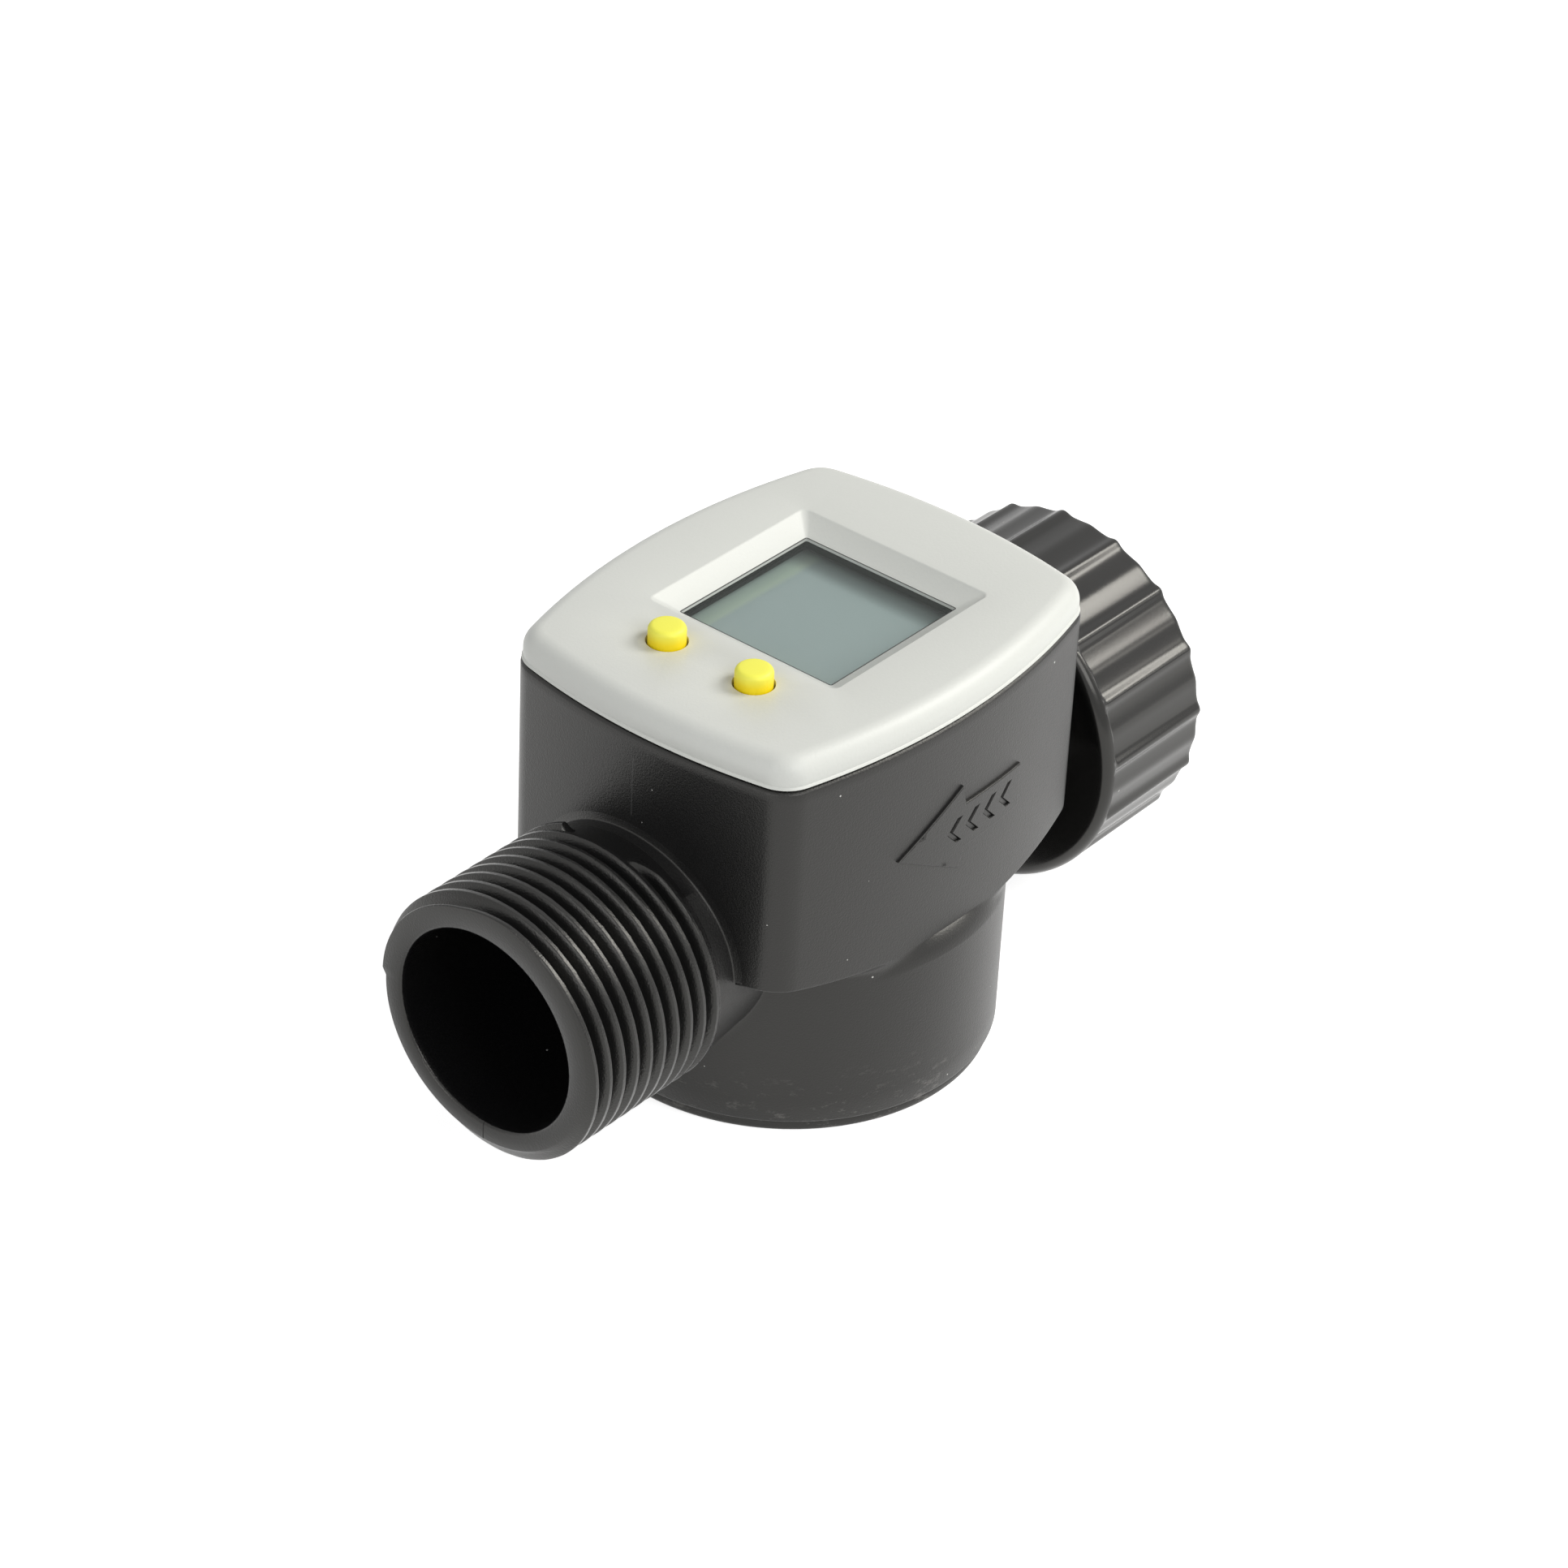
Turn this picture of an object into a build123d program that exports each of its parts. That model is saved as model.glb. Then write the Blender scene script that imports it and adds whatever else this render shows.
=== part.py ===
"""Digital water meter for a garden hose, in millimetres.

X runs along the pipe: the threaded outlet points to -X, the swivel nut of the inlet sits at +X.
Z points up through the display. The origin is the middle of the round foot that it stands on.
"""
from build123d import *
import math
import os

# Case, seen from above: four bowed sides and rounded corners
CASE_HALF_X = 23.8
CASE_HALF_Y = 19.7
CASE_BOW_X = 2.0
CASE_BOW_Y = 3.35
CASE_CORNER_R = 3.75
CASE_SHIFT_X = 0.5
CASE_WALL = 2.2
CASE_LIP = 1.4
CASE_EDGE = 0.3
UNDERSIDE_SLOPE = 16.5
UNDERSIDE_FILLET = 1.4

# Round base that holds the wheel chamber
BASE_R = 20.8
BASE_TOP_Z = 18.9
BASE_ROLL_R = 1.8
BASE_EDGE = 0.3

# Pipe axis, outlet spout and its G 3/4 thread
PIPE_Z = 19.75
SPOUT_PROUD = 19.5
OUTLET_BORE_R = 10.18
THREAD_CREST_R = 13.22
THREAD_ROOT_R = 12.06
THREAD_LENGTH = 16.8
THREAD_LEAD = 0.4
NECK_R = 12.85
NECK_PROUD = 0.3
NECK_FILLET = 0.7

# Inlet tail and the collar that the swivel nut turns on
TAIL_R = 10.9
TAIL_PROUD = 8.1
TAIL_BORE_R = 8.6
COLLAR_R = 11.9
COLLAR_W = 2.2
COLLAR_CHAMFER = 0.6

# Swivel nut
NUT_STAND = 3.1
NUT_LENGTH = 15.7
NUT_LIP_W = 2.5
NUT_R = 16.5
NUT_THREAD_R = 12.1
NUT_RIB_COUNT = 16
NUT_RIB_R = 0.95
NUT_RIB_PROUD = 0.45
NUT_RIB_PHASE = 84.75
NUT_SHOULDER = 1.5
NUT_BACK_EDGE = 0.4
NUT_CLEARANCE = 0.3
NUT_MOUTH_CHAMFER = 0.6

# Wet chamber and the partition above it
CHAMBER_R = 16.5
CHAMBER_HEAD = 0.07
PARTITION = 2.2

# Base cap with its seal
CAP_RIM_H = 1.2
CAP_RIM_R = 20.4
CAP_PLUG_H = 6.2
CAP_END_GAP = 0.1
CAP_FLOOR = 2.6
CAP_FOOT_EDGE = 0.4
CAP_GAP = 0.15
CAP_WALL = 3.0
CAP_BOSS_R = 4.2
CAP_BOSS_H = 9.2
SEAL_R = 0.85
SEAL_SIDES = 8
SEAL_Z = 4.0
SEAL_GAP = 0.03
PLUG_SEAT = 1.0

# Turbine wheel on its fixed pin
SHAFT_R = 1.0
SHAFT_INSET = 1.2
PIN_EDGE = 0.2
SHAFT_FIT = 0.04
BUSH_R = 2.2
BUSH_H = 1.6
BUSH_PROUD = 0.6
SEAT_GAP = 0.02
HUB_R = 3.0
HUB_PLAY = 0.3
VANE_COUNT = 8
VANE_T = 1.1
VANE_TIP_R = 12.6
VANE_SWEEP = 26.0
VANE_Z = 11.4
VANE_BOW = 1.6
MAGNET_R = 5.2
MAGNET_H = 2.4
MAGNET_CUP_W = 0.8
MAGNET_CUP_FLOOR = 1.0
CEILING_BOSS_R = 4.2
CEILING_BOSS_H = 1.4

# Jet ring that turns the flow onto the vanes
JET_RING_GAP = 0.2
JET_RING_WALL = 2.0
JET_W = 3.4
JET_H = 12.0
JET_COUNT = 3
JET_STEP = 32.0
JET_ANGLE = 35.0
JET_CUT = 2.2

# Inlet strainer and hose washer
STRAINER_T = 1.0
STRAINER_R = 9.8
STRAINER_GAP = 0.1
STRAINER_RIM = 1.3
STRAINER_SLOT = 1.3
STRAINER_BAR = 1.0
STRAINER_SLOTS = 6
WASHER_T = 2.8
WASHER_R = 11.8
WASHER_BORE_R = 8.4

# Top cover
COVER_INSET = 0.2
COVER_GAP = 0.2
COVER_H = 2.96
COVER_PLATE = 2.0
COVER_ROUND = 1.9
COVER_RIM_W = 3.0
SKIRT_GAP = 0.1
SKIRT_W = 1.3
SKIRT_H = 2.6
SNAP_H = 0.7
SNAP_OUT = 0.3
SNAP_DROP = 1.3
SNAP_GAP = 0.1
GASKET_H = 0.9

# Display opening, window, glass and its carrier
SIGHT_OUTLET_MARGIN = 14.65
SIGHT_INLET_MARGIN = 10.65
SIGHT_HALF_Y = 11.1
SIGHT_DEPTH = 1.5
SIGHT_INSET = 2.0
WINDOW_MARGIN = 1.2
WINDOW_T = 1.2
WINDOW_GAP = 0.08
WINDOW_HOLDER_W = 1.3
LCD_T = 1.6
LCD_MARGIN = 1.0
LCD_GAP = 0.1
LCD_DROP = 0.6
FRAME_W = 1.1
FRAME_TOP_GAP = 0.1
FRAME_EDGE = 0.3
ZEBRA_W = 1.6
ZEBRA_INSET = 0.4

# Buttons and their switches
BUTTON_SPACING = 4.3
BUTTON_HALF_PITCH = 5.2
BUTTON_R = 1.8
BUTTON_PROUD = 1.75
BUTTON_ROUND = 0.55
BUTTON_HOLE_GAP = 0.2
BUTTON_FLANGE_R = 2.7
BUTTON_FLANGE_H = 0.7
BUTTON_PLAY = 0.3
BUTTON_TRAVEL = 0.5
BUTTON_FOOT_GAP = 0.46
SWITCH_SIDE = 6.0
SWITCH_H = 3.2
SWITCH_EDGE = 0.4
SWITCH_WELL_R = 1.65
PLUNGER_R = 1.45
PLUNGER_END_GAP = 0.2
PLUNGER_SEAT = 0.74

# Circuit board on its four posts
BOARD_T = 1.6
BOARD_GAP = 0.5
POST_R = 2.1
POST_INSET = 8.2
POST_HALF_Y = 10.9
SCREW_R = 0.95
SCREW_HOLE_GAP = 0.05
SCREW_LENGTH = 5.0
SCREW_END_GAP = 0.3
SCREW_CROSS_W = 0.5
BOARD_HOLE_GAP = 0.25
SCREW_HEAD_R = 1.8
SCREW_HEAD_H = 1.3
SCREW_HEAD_EDGE = 0.4
SCREW_RECESS = 0.6
SCREW_TIP = 0.3

# Cell, contacts and the parts soldered to the board
CELL_R = 10.0
CELL_T = 3.2
CELL_SIDE_GAP = 1.5
CELL_FLOOR_GAP = 0.6
CELL_EDGE = 0.4
CONTACT_T = 0.3
CONTACT_W = 4.0
CONTACT_GAP = 0.1
REED_R = 1.0
REED_LENGTH = 9.0
REED_LEAD = 0.5
REED_SPAN = 12.0
REED_GAP = 1.8
REED_DROP = 1.7
REED_END_EDGE = 0.5
CHIP_R = 3.6
CHIP_H = 1.2
CHIP_DOME = 0.6
CHIP_SHIFT = 1.5
CRYSTAL_R = 1.0
CRYSTAL_LENGTH = 6.0
CRYSTAL_GAP = 0.45
CRYSTAL_EDGE = 0.2

# Flow arrow raised on the wall at -Y
ARROW_TIP_X = -8.2
ARROW_TAIL_X = 9.3
ARROW_DROP = 12.2
ARROW_HEAD_L = 8.3
ARROW_HEAD_HALF = 4.4
ARROW_TAIL_HALF = 2.4
ARROW_PROUD = 0.3
CHEVRON_COUNT = 3
CHEVRON_STEP = 2.9
CHEVRON_W = 0.7
CHEVRON_HALF = 1.5
CHEVRON_X = 1.6

# Places along the pipe that follow from the sizes above
CASE_OUTLET_X = CASE_SHIFT_X - CASE_HALF_X
CASE_INLET_X = CASE_SHIFT_X + CASE_HALF_X
OUTLET_X = CASE_OUTLET_X - SPOUT_PROUD
NECK_X = CASE_OUTLET_X - NECK_PROUD
TAIL_END_X = CASE_INLET_X + TAIL_PROUD
COLLAR_X = TAIL_END_X - COLLAR_W
NUT_FACE_X = CASE_INLET_X + NUT_STAND
NUT_BACK_X = NUT_FACE_X + NUT_LENGTH
NUT_LIP_X = NUT_FACE_X + NUT_LIP_W
SIGHT_X0 = CASE_OUTLET_X + SIGHT_OUTLET_MARGIN
SIGHT_X1 = CASE_INLET_X - SIGHT_INLET_MARGIN
SIGHT_X = (SIGHT_X0 + SIGHT_X1) / 2
BUTTON_X = SIGHT_X0 - BUTTON_SPACING
POST_HALF_X = CASE_HALF_X - POST_INSET
CELL_X = CASE_INLET_X - CASE_WALL - CELL_SIDE_GAP - CONTACT_T - CONTACT_GAP - CELL_R
REED_X = CELL_X - CELL_R - CONTACT_GAP - CONTACT_T - REED_GAP - REED_R
CHIP_X = SIGHT_X - CHIP_SHIFT
CRYSTAL_X = BUTTON_X - SWITCH_SIDE / 2 - CRYSTAL_GAP - CRYSTAL_R

# Heights, from the pipe up through the board to the cover
CHAMBER_TOP_Z = PIPE_Z + OUTLET_BORE_R + CHAMBER_HEAD
DRY_FLOOR_Z = CHAMBER_TOP_Z + PARTITION
BOARD_Z = DRY_FLOOR_Z + CELL_FLOOR_GAP + 2 * CONTACT_T + CELL_T
BOARD_TOP_Z = BOARD_Z + BOARD_T
SWITCH_TOP_Z = BOARD_TOP_Z + SWITCH_H
BUTTON_FOOT_Z = SWITCH_TOP_Z + BUTTON_TRAVEL + BUTTON_FOOT_GAP
PLATE_UNDER_Z = BUTTON_FOOT_Z + BUTTON_FLANGE_H + BUTTON_PLAY
COVER_TOP_Z = PLATE_UNDER_Z + COVER_PLATE
COVER_BASE_Z = COVER_TOP_Z - COVER_H
CASE_TOP_Z = COVER_BASE_Z - COVER_GAP
SKIRT_BOTTOM_Z = COVER_BASE_Z - SKIRT_H
LEDGE_Z = SKIRT_BOTTOM_Z - GASKET_H
SNAP_Z = COVER_BASE_Z - SNAP_DROP - SNAP_H
WINDOW_TOP_Z = COVER_TOP_Z - SIGHT_DEPTH
WINDOW_Z = WINDOW_TOP_Z - WINDOW_T
LCD_TOP_Z = WINDOW_Z - LCD_DROP
LCD_Z = LCD_TOP_Z - LCD_T
BUTTON_TOP_Z = COVER_TOP_Z + BUTTON_PROUD
PLUNGER_Z = SWITCH_TOP_Z - PLUNGER_SEAT
WELL_Z = PLUNGER_Z - BUTTON_TRAVEL - PLUNGER_END_GAP
CELL_Z = BOARD_Z - CONTACT_T - CELL_T
REED_Z = BOARD_Z - REED_DROP
ARROW_Z = CASE_TOP_Z - ARROW_DROP

# Heights of the wheel between its two bushes
BUSH_SEAT = BUSH_H - BUSH_PROUD
BUSH_UPPER_Z = CHAMBER_TOP_Z - CEILING_BOSS_H - BUSH_PROUD
WHEEL_FOOT_Z = CAP_BOSS_H + BUSH_PROUD + HUB_PLAY
WHEEL_TOP_Z = BUSH_UPPER_Z - HUB_PLAY
MAGNET_CUP_Z = WHEEL_TOP_Z - MAGNET_H - MAGNET_CUP_FLOOR

# Radii and outlines that fit one another
PLUG_BORE_R = CHAMBER_R + PLUG_SEAT
PLUG_R = PLUG_BORE_R - CAP_GAP
SEAL_MID_R = PLUG_BORE_R - SEAL_GAP - SEAL_R
SEAL_GROOVE_W = 2 * (SEAL_R + CAP_GAP)
LIP_BORE_R = TAIL_R + NUT_CLEARANCE
JET_RING_R = CHAMBER_R - JET_RING_GAP
SIGHT_LX = SIGHT_X1 - SIGHT_X0
SIGHT_LY = 2 * SIGHT_HALF_Y
GLASS_LX = SIGHT_LX - 2 * SIGHT_INSET
GLASS_LY = SIGHT_LY - 2 * SIGHT_INSET
WINDOW_LX = GLASS_LX + 2 * WINDOW_MARGIN
WINDOW_LY = GLASS_LY + 2 * WINDOW_MARGIN
HOLDER_LX = WINDOW_LX + 2 * WINDOW_HOLDER_W
HOLDER_LY = WINDOW_LY + 2 * WINDOW_HOLDER_W
LCD_LX = GLASS_LX + 2 * LCD_MARGIN
LCD_LY = GLASS_LY + 2 * LCD_MARGIN
FRAME_LX = LCD_LX + 2 * (LCD_GAP + FRAME_W)
FRAME_LY = LCD_LY + 2 * (LCD_GAP + FRAME_W)

SIDES = {"left": 1, "right": -1}
POSTS = {1: (-1, -1), 2: (-1, 1), 3: (1, -1), 4: (1, 1)}


def save(part, label):
    """Name a finished piece and write it out."""
    part.label = label
    export_step(part, f"parts/{label}.step")


def case_outline(grow=0.0):
    """Outline of the case seen from above, grown or shrunk all round by one distance."""
    side_x = CASE_HALF_X - CASE_BOW_X
    side_y = CASE_HALF_Y - CASE_BOW_Y
    end_r = (side_y**2 + CASE_BOW_X**2) / (2 * CASE_BOW_X)
    side_r = (side_x**2 + CASE_BOW_Y**2) / (2 * CASE_BOW_Y)
    with BuildSketch() as plan:
        with Locations((CASE_SHIFT_X, 0)):
            Rectangle(4 * CASE_HALF_X, 4 * CASE_HALF_Y)
            for angle, half, radius in (
                (0, CASE_HALF_X, end_r),
                (180, CASE_HALF_X, end_r),
                (90, CASE_HALF_Y, side_r),
                (270, CASE_HALF_Y, side_r),
            ):
                with PolarLocations(radius - half, 1, start_angle=angle):
                    Circle(radius + grow, mode=Mode.INTERSECT)
        fillet(plan.vertices(), CASE_CORNER_R + grow)
    return plan.sketch


os.makedirs("parts", exist_ok=True)
pipe_axis = Axis((0, 0, PIPE_Z), (1, 0, 0))

# Flow arrow that stands proud of the wall, with three chevrons cut through it
with BuildPart() as flow_arrow:
    with BuildSketch(Plane.XY.offset(ARROW_Z - ARROW_HEAD_HALF)):
        add(case_outline(ARROW_PROUD))
    extrude(amount=2 * ARROW_HEAD_HALF)
    with BuildSketch(Plane.XZ.offset(CASE_HALF_Y / 2)):
        with BuildLine():
            Polyline(
                (ARROW_TIP_X, ARROW_Z),
                (ARROW_TIP_X + ARROW_HEAD_L, ARROW_Z + ARROW_HEAD_HALF),
                (ARROW_TIP_X + ARROW_HEAD_L, ARROW_Z + ARROW_TAIL_HALF),
                (ARROW_TAIL_X, ARROW_Z + ARROW_TAIL_HALF),
                (ARROW_TAIL_X, ARROW_Z - ARROW_TAIL_HALF),
                (ARROW_TIP_X + ARROW_HEAD_L, ARROW_Z - ARROW_TAIL_HALF),
                (ARROW_TIP_X + ARROW_HEAD_L, ARROW_Z - ARROW_HEAD_HALF),
                close=True,
            )
        make_face()
        for number in range(CHEVRON_COUNT):
            chevron_x = CHEVRON_X + number * CHEVRON_STEP
            with BuildLine():
                Polyline(
                    (chevron_x, ARROW_Z),
                    (chevron_x + CHEVRON_HALF, ARROW_Z + CHEVRON_HALF),
                    (chevron_x + CHEVRON_HALF + CHEVRON_W, ARROW_Z + CHEVRON_HALF),
                    (chevron_x + CHEVRON_W, ARROW_Z),
                    (chevron_x + CHEVRON_HALF + CHEVRON_W, ARROW_Z - CHEVRON_HALF),
                    (chevron_x + CHEVRON_HALF, ARROW_Z - CHEVRON_HALF),
                    close=True,
                )
            make_face(mode=Mode.SUBTRACT)
    extrude(amount=CASE_HALF_Y, mode=Mode.INTERSECT)

# Housing: case, round base, spout and inlet tail, moulded in one piece
with BuildPart() as housing:
    # Round base with its top edge rolled over and its foot edge broken
    with BuildSketch(Plane.XY.offset(CAP_RIM_H)):
        Circle(BASE_R)
    extrude(amount=BASE_TOP_Z - CAP_RIM_H)
    fillet(housing.edges().group_by(Axis.Z)[-1], BASE_ROLL_R)
    chamfer(housing.edges().group_by(Axis.Z)[0], BASE_EDGE)

    # Case walls, cut off below by a shallow cone that runs into the base
    with BuildSketch(Plane.XY.offset(CAP_RIM_H + BASE_EDGE)):
        add(case_outline())
    extrude(amount=CASE_TOP_Z - CAP_RIM_H - BASE_EDGE)
    chamfer(housing.edges().group_by(Axis.Z)[-1], CASE_EDGE)
    cone_reach = CASE_HALF_X + CASE_HALF_Y
    cone_rise = (cone_reach - BASE_R) * math.tan(math.radians(UNDERSIDE_SLOPE))
    with BuildSketch(Plane.XZ) as below_case:
        with BuildLine():
            Polyline(
                (BASE_R, CAP_RIM_H),
                (BASE_R, BASE_TOP_Z),
                (cone_reach, BASE_TOP_Z + cone_rise),
                (cone_reach, CAP_RIM_H),
                close=True,
            )
        make_face()
        fillet(below_case.vertices().group_by(Axis.X)[0].sort_by(Axis.Y)[-1], UNDERSIDE_FILLET)
    revolve(axis=Axis.Z, mode=Mode.SUBTRACT)

    # Spout: threaded length over its crests, then the narrower neck, rounded where it meets the wall
    with BuildSketch(Plane.YZ.offset(OUTLET_X)):
        with Locations((0, PIPE_Z)):
            Circle(THREAD_CREST_R)
    extrude(amount=THREAD_LENGTH)
    chamfer(housing.edges().group_by(Axis.X)[0], THREAD_LEAD)
    with BuildSketch(Plane.YZ.offset(OUTLET_X)):
        with Locations((0, PIPE_Z)):
            Circle(THREAD_ROOT_R)
    extrude(amount=-OUTLET_X)
    with BuildSketch(Plane.YZ.offset(NECK_X)):
        with Locations((0, PIPE_Z)):
            Circle(NECK_R)
    extrude(amount=-NECK_X)
    neck = housing.edges().filter_by(GeomType.CIRCLE).filter_by_position(Axis.X, NECK_X, NECK_X)
    fillet(neck.sort_by(SortBy.RADIUS)[0], NECK_FILLET)

    # Inlet tail with the collar that holds the nut
    with BuildSketch(Plane.YZ):
        with Locations((0, PIPE_Z)):
            Circle(TAIL_R)
    extrude(amount=TAIL_END_X)
    with BuildSketch(Plane.YZ.offset(COLLAR_X)):
        with Locations((0, PIPE_Z)):
            Circle(COLLAR_R)
    extrude(amount=COLLAR_W)
    chamfer(housing.edges().group_by(Axis.X)[-1], COLLAR_CHAMFER)

    # Flow arrow
    add(flow_arrow.part)

    # Wheel chamber, the wider bore for the cap below it and the boss for the upper bush
    with BuildSketch(Plane.XY.offset(CAP_RIM_H)):
        Circle(CHAMBER_R)
    extrude(amount=CHAMBER_TOP_Z - CAP_RIM_H, mode=Mode.SUBTRACT)
    with BuildSketch(Plane.XY.offset(CAP_RIM_H)):
        Circle(PLUG_BORE_R)
    extrude(amount=CAP_PLUG_H + CAP_END_GAP, mode=Mode.SUBTRACT)
    with BuildSketch(Plane.XY.offset(CHAMBER_TOP_Z - CEILING_BOSS_H)):
        Circle(CEILING_BOSS_R)
    extrude(amount=CEILING_BOSS_H)
    with BuildSketch(Plane.XY.offset(CHAMBER_TOP_Z - CEILING_BOSS_H)):
        Circle(BUSH_R + SEAT_GAP)
    extrude(amount=BUSH_SEAT, mode=Mode.SUBTRACT)
    with BuildSketch(Plane.XY.offset(CHAMBER_TOP_Z - CEILING_BOSS_H)):
        Circle(SHAFT_R + SEAT_GAP)
    extrude(amount=BUSH_SEAT + SHAFT_INSET + SEAT_GAP, mode=Mode.SUBTRACT)

    # Water ways, and the seat of the strainer in the end of the tail
    with BuildSketch(Plane.YZ.offset(OUTLET_X)):
        with Locations((0, PIPE_Z)):
            Circle(OUTLET_BORE_R)
    extrude(amount=-OUTLET_X - CHAMBER_R / 2, mode=Mode.SUBTRACT)
    with BuildSketch(Plane.YZ.offset(CHAMBER_R / 2)):
        with Locations((0, PIPE_Z)):
            Circle(TAIL_BORE_R)
    extrude(amount=TAIL_END_X - CHAMBER_R / 2, mode=Mode.SUBTRACT)
    with BuildSketch(Plane.YZ.offset(TAIL_END_X - STRAINER_T)):
        with Locations((0, PIPE_Z)):
            Circle(STRAINER_R + STRAINER_GAP)
    extrude(amount=STRAINER_T, mode=Mode.SUBTRACT)

    # Dry compartment, the ledge for the gasket and the groove for the cover's bead
    with BuildSketch(Plane.XY.offset(DRY_FLOOR_Z)):
        add(case_outline(-CASE_WALL))
    extrude(amount=CASE_TOP_Z - DRY_FLOOR_Z, mode=Mode.SUBTRACT)
    with BuildSketch(Plane.XY.offset(LEDGE_Z)):
        add(case_outline(-CASE_LIP))
    extrude(amount=CASE_TOP_Z - LEDGE_Z, mode=Mode.SUBTRACT)
    with BuildSketch(Plane.XY.offset(SNAP_Z - SNAP_GAP)):
        add(case_outline(-CASE_LIP + SNAP_OUT))
    extrude(amount=SNAP_H + 2 * SNAP_GAP, mode=Mode.SUBTRACT)

    # Posts for the circuit board
    with BuildSketch(Plane.XY.offset(DRY_FLOOR_Z)):
        with Locations((CASE_SHIFT_X, 0)), GridLocations(2 * POST_HALF_X, 2 * POST_HALF_Y, 2, 2):
            Circle(POST_R)
    extrude(amount=BOARD_Z - DRY_FLOOR_Z)
    with BuildSketch(Plane.XY.offset(BOARD_Z)):
        with Locations((CASE_SHIFT_X, 0)), GridLocations(2 * POST_HALF_X, 2 * POST_HALF_Y, 2, 2):
            Circle(SCREW_R + SCREW_HOLE_GAP)
    extrude(amount=-(SCREW_LENGTH - BOARD_T + SCREW_END_GAP), mode=Mode.SUBTRACT)
save(housing.part, "housing")

# Round cap that closes the wheel chamber from below
with BuildPart() as base_cap:
    with BuildSketch():
        Circle(CAP_RIM_R)
    extrude(amount=CAP_RIM_H)
    chamfer(base_cap.edges().group_by(Axis.Z)[0], CAP_FOOT_EDGE)
    chamfer(base_cap.edges().group_by(Axis.Z)[-1], BASE_EDGE)
    with BuildSketch(Plane.XY.offset(CAP_RIM_H)):
        Circle(PLUG_R)
    extrude(amount=CAP_PLUG_H)
    with BuildSketch(Plane.XY.offset(CAP_FLOOR)):
        Circle(PLUG_R - CAP_WALL)
    extrude(amount=CAP_RIM_H + CAP_PLUG_H - CAP_FLOOR, mode=Mode.SUBTRACT)
    with BuildSketch(Plane.XY.offset(SEAL_Z - SEAL_GROOVE_W / 2)):
        Circle(PLUG_R)
        Circle(SEAL_MID_R - SEAL_R - SEAL_GAP, mode=Mode.SUBTRACT)
    extrude(amount=SEAL_GROOVE_W, mode=Mode.SUBTRACT)
    with BuildSketch(Plane.XY.offset(CAP_FLOOR)):
        Circle(CAP_BOSS_R)
    extrude(amount=CAP_BOSS_H - CAP_FLOOR)
    with BuildSketch(Plane.XY.offset(CAP_BOSS_H)):
        Circle(BUSH_R + SEAT_GAP)
    extrude(amount=-BUSH_SEAT, mode=Mode.SUBTRACT)
    with BuildSketch(Plane.XY.offset(CAP_BOSS_H)):
        Circle(SHAFT_R + SEAT_GAP)
    extrude(amount=-(BUSH_SEAT + SHAFT_INSET + SEAT_GAP), mode=Mode.SUBTRACT)
save(base_cap.part, "base_cap")

# Ring seal in the groove of the cap
with BuildPart() as cap_seal:
    with BuildSketch(Plane.XZ):
        with Locations((SEAL_MID_R, SEAL_Z)):
            RegularPolygon(SEAL_R, SEAL_SIDES)
    revolve(axis=Axis.Z)
save(cap_seal.part, "cap_seal")

# Bushes that hold the pin of the wheel
for bush_name, bush_z in (("bearing_lower", CAP_BOSS_H - BUSH_SEAT), ("bearing_upper", BUSH_UPPER_Z)):
    with BuildPart() as bush:
        with BuildSketch(Plane.XY.offset(bush_z)):
            Circle(BUSH_R)
            Circle(SHAFT_R + SEAT_GAP, mode=Mode.SUBTRACT)
        extrude(amount=BUSH_H)
    save(bush.part, bush_name)

# Steel pin from the cap to the ceiling
with BuildPart() as wheel_pin:
    with BuildSketch(Plane.XY.offset(CAP_BOSS_H - BUSH_SEAT - SHAFT_INSET)):
        Circle(SHAFT_R)
    extrude(amount=BUSH_UPPER_Z + BUSH_H - CAP_BOSS_H + BUSH_SEAT + 2 * SHAFT_INSET)
    chamfer(wheel_pin.edges().group_by(Axis.Z)[0] + wheel_pin.edges().group_by(Axis.Z)[-1], PIN_EDGE)
save(wheel_pin.part, "wheel_pin")

# Turbine wheel with swept vanes and a cup for the magnet
with BuildSketch() as vane_plan:
    tip_angle = math.radians(VANE_SWEEP)
    with BuildLine():
        SagittaArc(
            (HUB_R - VANE_T, 0),
            (VANE_TIP_R * math.cos(tip_angle), VANE_TIP_R * math.sin(tip_angle)),
            VANE_BOW,
        )
    trace(line_width=VANE_T)
with BuildPart() as turbine_wheel:
    with BuildSketch(Plane.XY.offset(WHEEL_FOOT_Z)):
        Circle(HUB_R)
    extrude(amount=WHEEL_TOP_Z - WHEEL_FOOT_Z)
    with BuildSketch(Plane.XY.offset(VANE_Z)):
        with PolarLocations(0, VANE_COUNT):
            add(vane_plan.sketch)
    extrude(amount=MAGNET_CUP_Z - VANE_Z)
    with BuildSketch(Plane.XY.offset(MAGNET_CUP_Z)):
        Circle(MAGNET_R + SEAT_GAP + MAGNET_CUP_W)
    extrude(amount=WHEEL_TOP_Z - MAGNET_CUP_Z)
    with BuildSketch(Plane.XY.offset(WHEEL_TOP_Z)):
        Circle(MAGNET_R + SEAT_GAP)
        Circle(HUB_R, mode=Mode.SUBTRACT)
    extrude(amount=-MAGNET_H, mode=Mode.SUBTRACT)
    with BuildSketch(Plane.XY.offset(WHEEL_FOOT_Z)):
        Circle(SHAFT_R + SHAFT_FIT)
    extrude(amount=WHEEL_TOP_Z - WHEEL_FOOT_Z, mode=Mode.SUBTRACT)
save(turbine_wheel.part, "turbine_wheel")

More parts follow.
